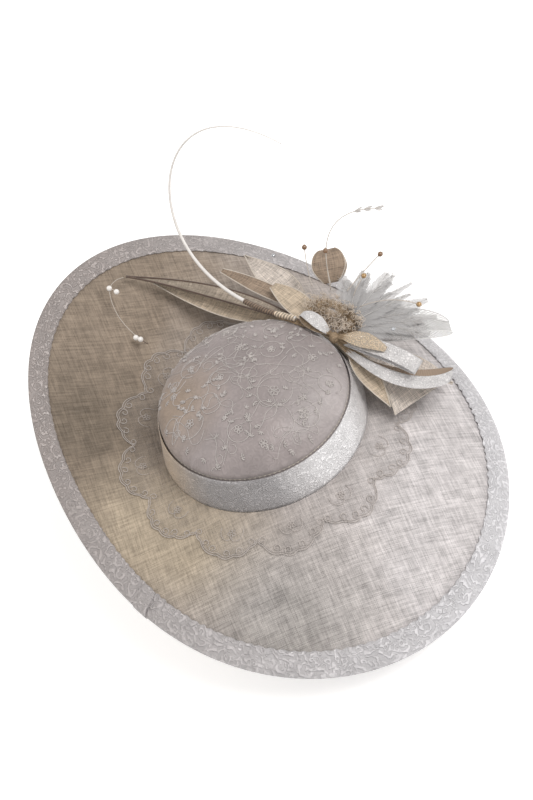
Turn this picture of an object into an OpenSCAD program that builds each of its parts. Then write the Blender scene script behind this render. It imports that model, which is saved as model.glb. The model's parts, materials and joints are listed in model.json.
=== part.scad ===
// Wide-brimmed fascinator headpiece: swept oval brim, small domed crown, side trim, sprung headband.
// +Z runs up the crown's axis, the wearer faces -Y, and +X is the wearer's left.
// The origin is the middle of the crown's foot, on top of the brim.

/* [Brim] */
// Length of the brim along its long axis
brim_long = 450; // [400:5:500]
// Width of the brim across its long axis
brim_short = 368; // [340:4:400]
// Direction of the long axis, from the wearer's left
brim_turn = 102; // [90:1:114]
// How far the brim's edge droops on average below the crown's foot
brim_droop = 12; // [0:1:20]
// How far the edge is swept up on one side and down on the other
brim_sweep = 66; // [40:1:75]
// Direction in which the edge is swept up
sweep_dir = 134; // [120:1:150]
// Height of the two-lobed curl of the edge
brim_curl = 18.5; // [0:0.5:22]
// Height of the three-lobed wave of the edge
brim_wave = 9.5; // [0:0.5:12]
// How late the brim starts to leave the flat, as an exponent
brim_bow = 1.35; // [1.2:0.05:1.6]
// Thickness of one layer of sinamay
layer_t = 1; // [0.8:0.1:1.4]
// Radius of the hole in the brim under the crown
hole_r = 76; // [70:1:80]
// Width of the binding, measured along the brim
binding_w = 20; // [16:1:24]
// Thickness of the binding
binding_t = 1; // [0.8:0.1:1.4]
// Radius of the wire in the brim's edge
edge_wire_r = 0.9; // [0.7:0.1:1.1]

/* [Crown] */
// Radius of the band at its foot
foot_r = 92; // [86:1:96]
// Radius of the band at its top edge
top_r = 84.5; // [82:0.5:86]
// Height of the band
band_h = 33.5; // [28:0.5:36]
// Height of the dome above the band
dome_h = 36; // [30:1:42]
// Thickness of the band
band_t = 1.4; // [1:0.1:1.8]
// Thickness of the satin and lace cover
cover_t = 0.8; // [0.6:0.1:1.2]
// How deep the cover is tucked behind the band
tuck_h = 12; // [8:1:16]
// Thickness of the stiffened crown base
base_t = 1.4; // [1:0.1:2]
// Thickness of the lining
lining_t = 0.6; // [0.5:0.1:1]
// Mean width of the lace collar round the crown
collar_w = 35; // [25:1:45]
// Number of scallops round the lace collar
scallops = 13; // [9:1:17]
// Depth of a scallop
scallop_d = 5; // [3:0.5:8]
// Thickness of the lace collar
collar_t = 0.7; // [0.6:0.1:1]

/* [Headband] */
// Half the width of the headband where it enters the crown
band_half = 71; // [66:1:71]
// Height of the headband's arch above the brim
arch_h = 32; // [26:1:40]
// Length of each arm below the brim
arm_l = 96; // [80:1:110]
// How far each arm's tip curves inwards
arm_in = 11; // [6:1:16]
// Width of the ribbon sleeve
sleeve_w = 9; // [7:0.5:12]
// Thickness of the ribbon sleeve
sleeve_t = 3; // [2.8:0.1:4]
// Width of the spring strip inside the sleeve
spring_w = 6; // [4:0.5:6]
// Thickness of the spring strip
spring_t = 1; // [0.8:0.1:1.2]
// Thickness of the head ring ribbon
ring_t = 1.2; // [0.8:0.1:1.2]
// Height of the head ring ribbon above the brim
ring_h = 14; // [10:1:18]

/* [Trim] */
// Thickness of a sinamay leaf
leaf_t = 0.8; // [0.6:0.1:1]
// Thickness of the ribbon in a loop
loop_t = 0.7; // [0.5:0.1:0.9]
// Half the length of the net rosette
rosette_l = 28; // [22:1:30]
// Radius of the knot
knot_r = 4.5; // [3.5:0.5:5]
// Thickness of the felt pad that the trim is sewn to
pad_t = 6; // [4:0.5:7]
// Radius of a wire stem
stem_r = 0.5; // [0.4:0.05:0.6]
// Radius of a bead
bead_r = 2.4; // [1.8:0.1:2.8]
// Radius of a pearl
pearl_r = 2.6; // [2:0.1:3]
// Radius of the quill at its root
quill_r = 1.9; // [1.4:0.1:2.2]

/* [Hidden] */
// Clearance between pieces that lie on each other, and between the layers of the curved brim
gap = 0.3;
ply_gap = 0.5;
// Stations round the brim
turns = 90;
// Rings across a brim layer outside the crown's foot
brim_rings = 7;
// Direction of the two-lobed curl and of the three-lobed wave
curl_dir = 130;
wave_dir = -7;
// Width of the fold of the binding outside the brim's edge
edge_in = 4;
// Segments on a lathe-turned piece
smooth = 96;
// Stations along a leaf, round a loop and along a stem
leaf_n = 12;
loop_n = 26;
stem_n = 18;

// ---- Brim surface ----
function rim_r(t) = (brim_long + brim_short) / 4 + (brim_long - brim_short) / 4 * cos(2 * (t - brim_turn));
function rim_z(t) = brim_sweep * cos(t - sweep_dir) + brim_curl * cos(2 * (t - curl_dir))
    + brim_wave * cos(3 * (t - wave_dir)) - brim_droop;
function brim_s(r, t) = max(0, (r - foot_r) / (rim_r(t) - foot_r));
function brim_z(r, t) = rim_z(t) * pow(brim_s(r, t), brim_bow);
function on_brim(r, t, h) = [r * cos(t), r * sin(t), brim_z(r, t) + h];
// Slope of the brim at its edge, and the plan width of a strip that lies along it there
function rim_slope(t) = rim_z(t) * brim_bow / (rim_r(t) - foot_r);
function plan_w(w, t) = w / sqrt(1 + rim_slope(t) * rim_slope(t));

// ---- Swept solids ----
function quads(n, m, closed) = [
    for (i = [0 : (closed ? n - 1 : n - 2)], j = [0 : m - 1])
        let (k = (i + 1) % n, l = (j + 1) % m,
             a = i * m + j, b = i * m + l, c = k * m + l, d = k * m + j)
        each (j < m / 2 ? [[a, b, c], [a, c, d]] : [[a, b, d], [b, c, d]])
];
// A solid swept through a list of sections with the same number of points. A section that isn't convex
// gives its end faces as convex cuts of its outline.
module swept(sections, closed = false, cuts = []) {
    n = len(sections);
    m = len(sections[0]);
    whole = len(cuts) > 0 ? cuts : [[for (j = [0 : m - 1]) j]];
    first = [for (c = whole) [for (k = [len(c) - 1 : -1 : 0]) c[k]]];
    last = [for (c = whole) [for (j = c) (n - 1) * m + j]];
    faces = concat(quads(n, m, closed), closed ? [] : first, closed ? [] : last);
    polyhedron(points = [for (s = sections) each s], faces = faces, convexity = 6);
}
function unit(v) = v / norm(v);
function bend2(p, u) = (1 - u) * (1 - u) * p[0] + 2 * (1 - u) * u * p[1] + u * u * p[2];
function bend3(p, u) = pow(1 - u, 3) * p[0] + 3 * pow(1 - u, 2) * u * p[1] + 3 * (1 - u) * u * u * p[2]
    + pow(u, 3) * p[3];
function along(p, u) = len(p) == 3 ? bend2(p, u) : bend3(p, u);
function heading(p, u) = unit(along(p, min(1, u + 0.01)) - along(p, max(0, u - 0.01)));
function side_of(t) = unit(cross(t, [0, 0, 1]));
// Half width of a leaf along its length: pointed, round-ended, fan-shaped or cut square
function pointed(u) = max(0.14, sin(180 * pow(u, 0.85)) * 0.92 + 0.08 * (1 - u));
function rounded(u) = max(0.3, sin(18 + 144 * pow(u, 0.9)));
function fanned(u) = max(0.14, sin(170 * pow(u, 1.25)));
function squared(u) = 0.16 + 0.84 * pow(u, 0.9);
function outline(shape, u) = shape == 0 ? pointed(u) : shape == 1 ? rounded(u) : shape == 2 ? fanned(u) : squared(u);

// A flat leaf through start, bend and tip, with its width across the path and a roll about it
module leaf(path, half_w, shape = 0, thick = leaf_t, roll = 0) {
    swept([
        for (i = [0 : leaf_n])
            let (u = i / leaf_n, t = heading(path, u), s0 = side_of(t), n0 = cross(s0, t),
                 s = s0 * cos(roll) + n0 * sin(roll), n = cross(s, t), p = along(path, u),
                 w = half_w * outline(shape, u), h = thick / 2)
            [p - s * w - n * h, p + s * w - n * h, p + s * w + n * h, p - s * w + n * h]
    ]);
}

// A ribbon folded back on itself into a loop of the given opening, drawn in by a share at its fold, with
// its upper run skewed sideways off its lower run
module ribbon_loop(path, half_w, opening, drawn = 0, skew = 0, thick = loop_t) {
    s = side_of(unit(path[2] - path[0]));
    up = cross(s, unit(path[2] - path[0]));
    function at(v) = let (u = (1 - cos(v)) / 2)
        along(path, u) + sin(v) * (up * opening * (0.45 + 0.55 * u) + s * skew * u);
    swept([
        for (i = [0 : loop_n - 1])
            let (v = 360 * (i + 0.5) / loop_n, p = at(v), n = unit(cross(s, at(v + 1) - at(v - 1))),
                 u = (1 - cos(v)) / 2, h = thick / 2,
                 w = half_w * (0.45 + 0.55 * sin(90 * min(1, u * 2))) * (1 - drawn * pow(u, 5)))
            [p - s * w - n * h, p + s * w - n * h, p + s * w + n * h, p - s * w + n * h]
    ], closed = true);
}

// A tapering stem through start, bend and tip
module stem(path, r_root, r_tip, sides = 6, n = stem_n) {
    swept([
        for (i = [0 : n])
            let (u = i / n, t = heading(path, u), s = side_of(t), c = cross(s, t), p = along(path, u),
                 r = r_root + (r_tip - r_root) * u)
            [for (j = [0 : sides - 1]) p + r * (s * cos(360 * j / sides) + c * sin(360 * j / sides))]
    ]);
}

// ---- Brim ----
module brim_layer(top) {
    swept([
        for (i = [0 : turns - 1])
            let (t = 360 * i / turns, run = rim_r(t) - edge_in - foot_r,
                 rr = concat([hole_r], [for (k = [0 : brim_rings]) foot_r + run * pow(k / brim_rings, 1.2)]),
                 last = len(rr) - 1)
            concat([for (k = [0 : last]) on_brim(rr[k], t, top - layer_t)],
                   [for (k = [last : -1 : 0]) on_brim(rr[k], t, top)])
    ], closed = true);
}
module brim_upper() {
    color("tan") brim_layer(0);
}
module brim_under() {
    color("burlywood") brim_layer(-layer_t - ply_gap);
}

// Height of the middle of the two layers, where the wire runs, and of the underside of the lower one
mid_h = -layer_t - ply_gap / 2;
low_h = -2 * layer_t - ply_gap;
module edge_wire() {
    color("silver") swept([
        for (i = [0 : turns - 1])
            let (t = 360 * i / turns, r = rim_r(t) - edge_in + gap + edge_wire_r)
            [for (j = [0 : 7]) on_brim(r + edge_wire_r * cos(45 * j), t, mid_h + edge_wire_r * sin(45 * j))]
    ], closed = true);
}

// Section of a strip folded round the brim's edge, a given height off the two layers
function fold(t, w, lift, thick) = let (
        far = rim_r(t) + lift - ply_gap, shoulder = rim_r(t) - edge_in + 1, inner = rim_r(t) - plan_w(w, t),
        low = low_h - lift, round_h = (lift - low) / 2 - 0.8)
    [
        on_brim(inner, t, low - thick), on_brim(shoulder, t, low - thick),
        on_brim(far - 0.8, t, mid_h - round_h), on_brim(far, t, mid_h), on_brim(far - 0.8, t, mid_h + round_h),
        on_brim(shoulder, t, lift + thick), on_brim(inner, t, lift + thick),
        on_brim(inner, t, lift), on_brim(shoulder, t, lift),
        on_brim(far - thick, t, mid_h + 0.6), on_brim(far - thick, t, mid_h - 0.6),
        on_brim(shoulder, t, low), on_brim(inner, t, low)
    ];
module brim_binding() {
    color("gainsboro") swept([for (i = [0 : turns - 1]) fold(360 * i / turns, binding_w, ply_gap, binding_t)],
        closed = true);
}
// The binding's free end overlaps its start between these two directions
join_from = 216;
join_to = 220;
fold_cuts = [[0, 1, 11, 12], [1, 2, 10, 11], [2, 3, 10], [3, 9, 10], [3, 4, 9], [4, 5, 8, 9], [5, 6, 7, 8]];
module binding_join() {
    color("lightgray") swept([
        for (t = [join_from, join_to]) fold(t, binding_w, 2 * ply_gap + binding_t, binding_t)
    ], cuts = fold_cuts);
}

// ---- Crown ----
// Outline of the crown's wall and dome, a given distance inside the band's face
function wall_r(z, d) = foot_r - (foot_r - top_r) * z / band_h - d;
function dome_arc(d) = [
    for (a = [0 : 7.5 : 90]) [(top_r - d) * cos(a), band_h + (dome_h - d) * sin(a)]
];
module shell(d, thick, z0) {
    rotate_extrude($fn = smooth) polygon(concat(
        [[wall_r(z0, d + thick), z0], [wall_r(z0, d), z0]], dome_arc(d),
        [for (k = [len(dome_arc(d)) - 1 : -1 : 0]) dome_arc(d + thick)[k]]));
}
cover_d = band_t + gap;
base_d = cover_d + cover_t + gap;
lining_d = base_d + base_t + gap;
module crown_band() {
    color("silver") rotate_extrude($fn = smooth) polygon([
        [wall_r(gap, band_t), gap], [wall_r(gap, 0), gap], [top_r, band_h], [top_r - band_t, band_h]]);
}
module crown_cover() {
    color("thistle") shell(cover_d, cover_t, band_h - tuck_h);
}
module crown_base() {
    color("wheat") shell(base_d, base_t, gap);
}
module crown_lining() {
    color("ivory") shell(lining_d, lining_t, gap);
}
function collar_r(t) = foot_r + collar_w + scallop_d * (abs(sin(scallops * t / 2)) - 0.5) * 2;
collar_up = 0.7;
module lace_collar() {
    color("lavender") swept([
        for (i = [0 : 2 * turns - 1])
            let (t = 180 * i / turns, r0 = foot_r + 2 * gap, r1 = collar_r(t), rm = (r0 + r1) / 2)
            [on_brim(r0, t, collar_up), on_brim(rm, t, collar_up), on_brim(r1, t, collar_up),
             on_brim(r1, t, collar_up + collar_t), on_brim(rm, t, collar_up + collar_t),
             on_brim(r0, t, collar_up + collar_t)]
    ], closed = true);
}
ring_r = hole_r - gap;
ring_drop = 2 * layer_t + ply_gap + 0.4;
module head_ring() {
    color("ivory") translate([0, 0, -ring_drop]) difference() {
        cylinder(r = ring_r, h = ring_h + ring_drop, $fn = smooth);
        translate([0, 0, -1]) cylinder(r = ring_r - ring_t, h = ring_h + ring_drop + 2, $fn = smooth);
    }
}

// ---- Headband ----
// The arch is half an ellipse, and each arm curves inwards below it
function arch(a, grow) = [(band_half + grow) * cos(a), (arch_h + grow) * sin(a)];
module arch_strip(half_t, width) {
    translate([0, width / 2, 0]) rotate([90, 0, 0]) linear_extrude(width) polygon(concat(
        [for (a = [0 : 6 : 180]) arch(a, half_t)], [for (a = [180 : -6 : 0]) arch(a, -half_t)]));
}
sleeve_wall = 0.6;
module headband_spring() {
    color("gray") arch_strip(spring_t / 2, spring_w);
}
module headband_sleeve() {
    color("ivory") difference() {
        arch_strip(sleeve_t / 2, sleeve_w);
        arch_strip(sleeve_t / 2 - sleeve_wall, sleeve_w - 2 * sleeve_wall);
    }
}
tab_w = 16;
tab_h = 11;
module sewing_tabs() {
    tab_in = band_half + sleeve_t / 2 + gap;
    tab_out = sqrt(pow(ring_r - ring_t, 2) - tab_w * tab_w / 4) - gap;
    color("ivory") for (m = [0, 1]) mirror([m, 0, 0])
        translate([tab_in, -tab_w / 2, 1]) cube([tab_out - tab_in, tab_w, tab_h]);
}
// The arms hang from a pivot just under the brim; their line is a parabola
pivot_z = -1.5;
arm_top = -3;
function arm_x(z) = band_half - arm_in * pow((arm_top - z) / arm_l, 2);
module arm_strip(half_t, width, z0, z1) {
    steps = 12;
    translate([0, width / 2, 0]) rotate([90, 0, 0]) linear_extrude(width) polygon(concat(
        [for (i = [0 : steps]) let (z = z0 + (z1 - z0) * i / steps) [arm_x(z) + half_t, z]],
        [for (i = [steps : -1 : 0]) let (z = z0 + (z1 - z0) * i / steps) [arm_x(z) - half_t, z]]));
}
tip_l = 12;
arm_end = arm_top - arm_l;
module arm_spring() {
    color("gray") arm_strip(spring_t / 2, spring_w, arm_top - 0.6, arm_end + tip_l / 2);
}
module arm_sleeve() {
    color("ivory") difference() {
        arm_strip(sleeve_t / 2, sleeve_w, arm_top, arm_end + tip_l);
        arm_strip(sleeve_t / 2 - sleeve_wall, sleeve_w - 2 * sleeve_wall, arm_top - 0.4, arm_end + tip_l - 1);
    }
}
module arm_tip() {
    tip_t = sleeve_t / 2 + 0.3;
    color("dimgray") difference() {
        union() {
            arm_strip(tip_t, sleeve_w + 0.6, arm_end + tip_l - gap, arm_end + 4);
            translate([arm_x(arm_end + 4), 0, arm_end + 4]) rotate([0, 90, 0])
                cylinder(r = sleeve_w / 2 + 0.3, h = 2 * tip_t, center = true, $fn = 32);
        }
        arm_strip(spring_t / 2 + gap, spring_w + 2 * gap, arm_end + tip_l + 1, arm_end + tip_l / 2 - gap);
    }
}
module left_arm_spring() {
    arm_spring();
}
module left_arm_sleeve() {
    arm_sleeve();
}
module left_tip() {
    arm_tip();
}
module right_arm_spring() {
    mirror([1, 0, 0]) arm_spring();
}
module right_arm_sleeve() {
    mirror([1, 0, 0]) arm_sleeve();
}
module right_tip() {
    mirror([1, 0, 0]) arm_tip();
}

// ---- Trim: the felt pad, knot and rosette ----
pad_from = 4;
pad_to = 52;
pad_low = 4;
pad_high = 26;
module trim_pad() {
    color("linen") rotate([0, 0, pad_from]) rotate_extrude(angle = pad_to - pad_from, $fn = smooth) polygon([
        [wall_r(pad_low, -gap), pad_low], [foot_r + gap + pad_t, pad_low],
        [foot_r + pad_t - 2, pad_high], [wall_r(pad_high, -gap), pad_high]]);
}
knot_at = [83.5, 16, 46];
module trim_knot() {
    color("khaki") translate(knot_at) sphere(r = knot_r, $fn = 40);
}
rosette_at = knot_at + [8, 22.3, 6];
rosette_turn = -61.5;
rosette_w = 14;
rosette_h = 7;
module net_rosette() {
    color("tan") translate(rosette_at) rotate([0, 0, rosette_turn]) scale([rosette_l, rosette_w, rosette_h])
        sphere(r = 1, $fn = 40);
}

// ---- Trim: leaves and loops, each from its sewn end past its bend to its tip ----
module long_leaf() {
    color("dimgray") leaf([[64, 46, 47], [22, 140, 28], [-64, 180, 58]], 7);
}
module wide_leaf() {
    color("tan") leaf([[66, 62, 33], [10, 128, 17], [-43, 171, 45]], 13);
}
module round_loop() {
    color("tan") leaf([[68, 70, 44], [50, 112, 38], [20, 158, 38]], 7.5, 1);
}
module back_leaf() {
    color("wheat") leaf([[76, 78, 34], [62, 118, 35], [45, 160, 42]], 14);
}
module folded_leaf() {
    color("tan") leaf([[78, 36, 43], [68, 72, 50], [56, 103, 47]], 11, 1);
}
module bud_loop() {
    color("whitesmoke") ribbon_loop([[80, 20, 51], [74, 30, 58], [66, 46, 57]], 6, 3, 0.6, 2);
}
module top_loop() {
    color("rosybrown") ribbon_loop([[103, 73, 51], [107, 84, 62], [111, 98, 66]], 15, 5, 0.55);
}
module feather_pad() {
    color("gainsboro") leaf([[98, 18, 40], [130, 20, 60], [172, 20, 38]], 44, 2, 3);
}
module crin_loop() {
    color("lightgray") ribbon_loop([[106, 18, 32], [150, 14, 34], [180, 4, 14]], 14, 5, 0.5);
}
module short_loop() {
    color("whitesmoke") ribbon_loop([[90, 8, 44], [112, -10, 46], [134, -42, 36]], 7.5, 2.5);
}
module long_loop() {
    color("whitesmoke") ribbon_loop([[88, 3, 40], [111, -50, 29], [160, -43, 12]], 6.5, 4, 0, 6);
}
module glitter_leaf() {
    color("goldenrod") leaf([[90, 10, 49], [103, -3, 54], [116, -19, 46]], 8, 1);
}
module fan_leaf_front() {
    color("tan") leaf([[91, 6, 38], [96, -22, 31.5], [102, -50, 13]], 9);
}
module fan_leaf_middle() {
    color("tan") leaf([[94, 6, 29.5], [121, -14, 16], [129, -43, -1]], 30, 3, roll = 18);
}
module fan_leaf_side() {
    color("tan") leaf([[104, 8, 16], [138, -6, 1], [163, -27, -20]], 14);
}

// ---- Trim: quill, stems, beads, pearls and stones ----
quill_path = [[60, 47, 54.5], [-60, 202, 22], [15, 239, 226], [105, 133, 162]];
module quill() {
    color("white") stem(quill_path, quill_r, 0.4, 8, 32);
}
// A ribbon is wound round the first part of the quill
bound_part = 0.11;
bound_r = 2.8;
function lead(p, u) = let (a = p[0] + (p[1] - p[0]) * u, b = p[1] + (p[2] - p[1]) * u)
    [p[0], a, a + (b - a) * u, along(p, u)];
function ring_point(path, u, r, v) = let (t = heading(path, u), s = side_of(t), c = cross(s, t))
    along(path, u) + r * (s * cos(v) + c * sin(v));
module quill_binding() {
    path = lead(quill_path, bound_part);
    sides = 12;
    color("saddlebrown") swept([
        for (j = [0 : sides - 1])
            let (v = -360 * j / sides)
            concat([for (i = [0 : leaf_n]) ring_point(path, i / leaf_n, bound_r, v)],
                   [for (i = [leaf_n : -1 : 0]) ring_point(path, i / leaf_n, quill_r + gap, v)])
    ], closed = true);
}
arrow_path = [[100, 62, 60], [108, 104, 112], [157, 62, 118]];
// Three arrow-shaped vanes are left at the end of the feather
module arrow_feather() {
    color("gainsboro") union() {
        stem(arrow_path, stem_r, 0.3);
        for (k = [0 : 2])
            leaf([along(arrow_path, 0.78 + 0.09 * k), along(arrow_path, 0.8 + 0.09 * k),
                  along(arrow_path, 0.82 + 0.09 * k)], 3.6, 0, 0.8);
    }
}
module bead_stem(path) {
    stem(path, stem_r, stem_r, 6, 8);
    translate(path[2]) sphere(r = bead_r, $fn = 24);
}
module bead_stem_back() {
    color("saddlebrown") bead_stem([[86, 77, 53], [88, 90, 64], [93, 101, 76]]);
}
module bead_stem_top() {
    color("saddlebrown") bead_stem([[98, 57, 59], [100, 62, 76], [105, 69, 92]]);
}
module bead_stem_gold() {
    color("peru") bead_stem([[113, 42, 57], [119, 45, 64], [127, 48, 68]]);
}
module bead_stem_tall() {
    color("saddlebrown") bead_stem([[110, 50, 57], [130, 60, 62], [147, 57, 75]]);
}
module bead_stem_side() {
    color("peru") bead_stem([[113, 28, 56], [138, 18, 66], [157, 4, 56]]);
}
// Two clusters of pearls on a filament that leaves the long leaf's tip
spray_root = [-66, 174, 63];
module pearl_spray() {
    color("white") union() {
        stem([spray_root, [-74, 172, 68], [-81, 162, 68]], stem_r, stem_r, 6, 6);
        stem([[-81, 162, 68], [-79, 160, 68.5], [-76, 156, 66]], stem_r, stem_r, 6, 4);
        stem([[-81, 162, 68], [-90, 146, 50], [-73, 121, 33]], stem_r, stem_r, 6, 12);
        for (p = [[-81, 162, 68], [-76, 156, 66], [-73, 121, 33], [-76.3, 123.8, 34.6]])
            translate(p) sphere(r = pearl_r, $fn = 24);
    }
}
stone_r = 1.8;
module diamantes() {
    color("white") {
        translate(on_brim(rim_r(69) - 9, 69, ply_gap + binding_t + 1.2)) cylinder(r1 = stone_r, r2 = 1, h = 1.2, $fn = 24);
        translate([129, -6, 51.4]) cylinder(r1 = stone_r, r2 = 1, h = 1.2, $fn = 24);
    }
}

brim_upper();
brim_under();
edge_wire();
brim_binding();
binding_join();
crown_base();
crown_cover();
crown_lining();
crown_band();
lace_collar();
head_ring();
headband_spring();
headband_sleeve();
sewing_tabs();
left_arm_spring();
left_arm_sleeve();
left_tip();
right_arm_spring();
right_arm_sleeve();
right_tip();
trim_pad();
trim_knot();
net_rosette();
long_leaf();
wide_leaf();
round_loop();
back_leaf();
folded_leaf();
bud_loop();
top_loop();
feather_pad();
crin_loop();
short_loop();
long_loop();
glitter_leaf();
fan_leaf_front();
fan_leaf_middle();
fan_leaf_side();
quill();
quill_binding();
arrow_feather();
bead_stem_back();
bead_stem_top();
bead_stem_gold();
bead_stem_tall();
bead_stem_side();
pearl_spray();
diamantes();
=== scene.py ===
"""A wide-brimmed fascinator headpiece: swept sinamay brim, domed crown, trim and sprung headband."""

import json
import math
import random

import bmesh
import bpy
from bpy.props import FloatProperty, FloatVectorProperty, IntProperty, PointerProperty
from mathutils import Matrix, Vector, noise


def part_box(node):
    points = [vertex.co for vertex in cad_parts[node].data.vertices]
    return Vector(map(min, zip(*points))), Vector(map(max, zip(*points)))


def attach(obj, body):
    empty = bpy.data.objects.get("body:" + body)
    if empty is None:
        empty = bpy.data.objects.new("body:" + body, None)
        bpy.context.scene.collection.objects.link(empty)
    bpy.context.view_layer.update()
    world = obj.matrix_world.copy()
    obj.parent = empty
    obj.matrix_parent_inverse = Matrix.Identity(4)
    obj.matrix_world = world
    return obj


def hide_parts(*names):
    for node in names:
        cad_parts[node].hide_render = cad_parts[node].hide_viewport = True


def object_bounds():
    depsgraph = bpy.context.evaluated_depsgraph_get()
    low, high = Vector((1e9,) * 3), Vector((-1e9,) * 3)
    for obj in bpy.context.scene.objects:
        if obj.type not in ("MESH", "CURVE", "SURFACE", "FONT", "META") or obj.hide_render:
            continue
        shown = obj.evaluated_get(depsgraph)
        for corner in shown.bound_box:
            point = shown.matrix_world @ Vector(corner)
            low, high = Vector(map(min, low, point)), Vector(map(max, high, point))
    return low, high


bl_info = {
    "name": "Fascinator headpiece",
    "version": (1, 0, 0),
    "blender": (4, 5, 0),
    "location": "View3D > Sidebar > Headpiece",
    "description": "Makes the brim, crown, headband and trim of a wide-brimmed headpiece",
    "category": "Object",
}

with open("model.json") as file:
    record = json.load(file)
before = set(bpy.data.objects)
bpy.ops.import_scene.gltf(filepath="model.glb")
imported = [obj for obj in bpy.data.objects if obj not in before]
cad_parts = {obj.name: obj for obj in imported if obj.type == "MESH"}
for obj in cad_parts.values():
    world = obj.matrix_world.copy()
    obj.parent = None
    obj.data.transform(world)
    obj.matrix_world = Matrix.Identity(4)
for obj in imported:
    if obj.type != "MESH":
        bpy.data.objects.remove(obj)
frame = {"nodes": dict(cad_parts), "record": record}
cad_box = [list(corner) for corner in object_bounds()]

MM = 0.001
UP = Vector((0, 0, 1))

# Brim, in millimetres and degrees
BRIM_LONG, BRIM_SHORT, BRIM_TURN = 450.0, 368.0, 102.0
SWEEP, SWEEP_AT, CURL, CURL_AT, WAVE, WAVE_AT, DROOP = 66.0, 134.0, 18.5, 130.0, 9.5, -7.0, 12.0
BRIM_BOW = 1.35
HOLE_R, EDGE_IN, BINDING_W = 76.0, 4.0, 20.0
MID_H, UNDER_TOP = -1.25, -1.5

# Binding: share of its width in each flap, length over which a pucker turns, and ends of its overlap
FLAP, PUCKER_RUN, JOIN_FROM, JOIN_TO = 0.4, 1.35, 216.0, 220.0

# Crown, in millimetres
FOOT_R, TOP_R, BAND_H, DOME_H = 92.0, 84.5, 33.5, 36.0
COVER_IN, LINING_IN, TUCK_H = 1.7, 4.5, 12.0
COLLAR_W, SCALLOPS, COLLAR_UP = 35.0, 13, 0.7
RING_R, RING_T, RING_LOW, RING_HIGH = 75.7, 1.2, -2.9, 14.0
GATHER_FOLDS, GATHER_AT, RING_STITCHES, STITCH_R = 44, 235.0, 110, 0.3

# Thickness of each cloth, in millimetres
SINAMAY_T, JACQUARD_T, BAND_T, SATIN_T, LINING_T, RING_RIBBON_T = 0.9, 0.7, 0.9, 0.5, 0.4, 1.0
SLEEVE_RIBBON_T, TAB_T, LEAF_T, LOOP_T, WRAP_T = 0.5, 0.8, 0.45, 0.5, 0.3

# Headband, in millimetres
BAND_HALF, ARCH_H, ARM_TOP, ARM_L, ARM_IN = 71.0, 32.0, -3.0, 96.0, 11.0
SLEEVE_W, SLEEVE_T, TIP_L = 9.0, 3.0, 12.0
TAB_IN, TAB_W, TAB_H = 72.9, 15.6, 10.6

# Trim: start, bend and tip of each leaf or loop, and half its width, in millimetres
KNOT_AT, KNOT_R, ROSETTE_AT = Vector((83.5, 16, 46)), 4.5, Vector((91.5, 38.3, 52))
ROSETTE_L, ROSETTE_W, ROSETTE_TURN, FRILLS, CURLS = 28.0, 14.0, -61.5, 6, 240
LEAVES = {
    "long_leaf": ([(64, 46, 47), (22, 140, 28), (-64, 180, 58)], 7),
    "wide_leaf": ([(66, 62, 33), (10, 128, 17), (-43, 171, 45)], 13),
    "round_loop": ([(68, 70, 44), (50, 112, 38), (20, 158, 38)], 7.5),
    "back_leaf": ([(76, 78, 34), (62, 118, 35), (45, 160, 42)], 14),
    "folded_leaf": ([(78, 36, 43), (68, 72, 50), (56, 103, 47)], 11),
    "feather_pad": ([(98, 18, 40), (130, 20, 60), (172, 20, 38)], 44),
    "glitter_leaf": ([(90, 10, 49), (103, -3, 54), (116, -19, 46)], 8),
    "fan_leaf_front": ([(91, 6, 38), (96, -22, 31.5), (102, -50, 13)], 9),
    "fan_leaf_middle": ([(94, 6, 29.5), (121, -14, 16), (129, -43, -1)], 30),
    "fan_leaf_side": ([(104, 8, 16), (138, -6, 1), (163, -27, -20)], 14),
}
LOOPS = {
    "bud_loop": ([(80, 20, 51), (74, 30, 58), (66, 46, 57)], 6, 3, 0.6, 2),
    "top_loop": ([(103, 73, 51), (107, 84, 62), (111, 98, 66)], 15, 5, 0.55, 0),
    "crin_loop": ([(106, 18, 32), (150, 14, 34), (180, 4, 14)], 14, 5, 0.5, 0),
    "short_loop": ([(90, 8, 44), (112, -10, 46), (134, -42, 36)], 7.5, 2.5, 0.0, 0),
    "long_loop": ([(88, 3, 40), (111, -50, 29), (160, -43, 12)], 6.5, 2.6, 0.0, 8.0),
}
QUILL = [(60, 47, 54.5), (-60, 202, 22), (15, 239, 226), (105, 133, 162)]
BOUND_PART, BOUND_R = 0.11, 2.8
ARROW = [(100, 62, 60), (108, 104, 112), (157, 62, 118)]
BEAD_STEMS = {
    "bead_stem_back": ([(86, 77, 53), (88, 90, 64), (93, 101, 76)], "bead_back", "wired_bead"),
    "bead_stem_top": ([(98, 57, 59), (100, 62, 76), (105, 69, 92)], "bead_top", "wired_bead"),
    "bead_stem_gold": ([(113, 42, 57), (119, 45, 64), (127, 48, 68)], "bead_gold", "gold_bead"),
    "bead_stem_tall": ([(110, 50, 57), (130, 60, 62), (147, 57, 75)], "bead_tall", "wired_bead"),
    "bead_stem_side": ([(113, 28, 56), (138, 18, 66), (157, 4, 56)], "bead_side", "gold_bead"),
}
SPRAY = [
    [(-66, 174, 63), (-74, 172, 68), (-81, 162, 68)],
    [(-81, 162, 68), (-79, 160, 68.5), (-76, 156, 66)],
    [(-81, 162, 68), (-90, 146, 50), (-73, 121, 33)],
]
QUILL_R, ARROW_R, WIRE_R, FILAMENT_R, BEAD_R, PEARL_R = 1.9, 0.46, 0.40, 0.34, 2.35, 2.6
STONE_TURN, STONE_AT = 69.0, Vector((129, -6, 51.3))
PEARLS = [(-81, 162, 68), (-76, 156, 66), (-73, 121, 33), (-76.3, 123.8, 34.6)]


# Camera: rise and roll in degrees, distance in metres, lens in millimetres, and shift
CAMERA_RISE, CAMERA_ROLL, CAMERA_OFF, CAMERA_LENS = 49.6, -23.1, 0.946, 49.3
CAMERA_SHIFT = (0.0044, 0.0281)


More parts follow.
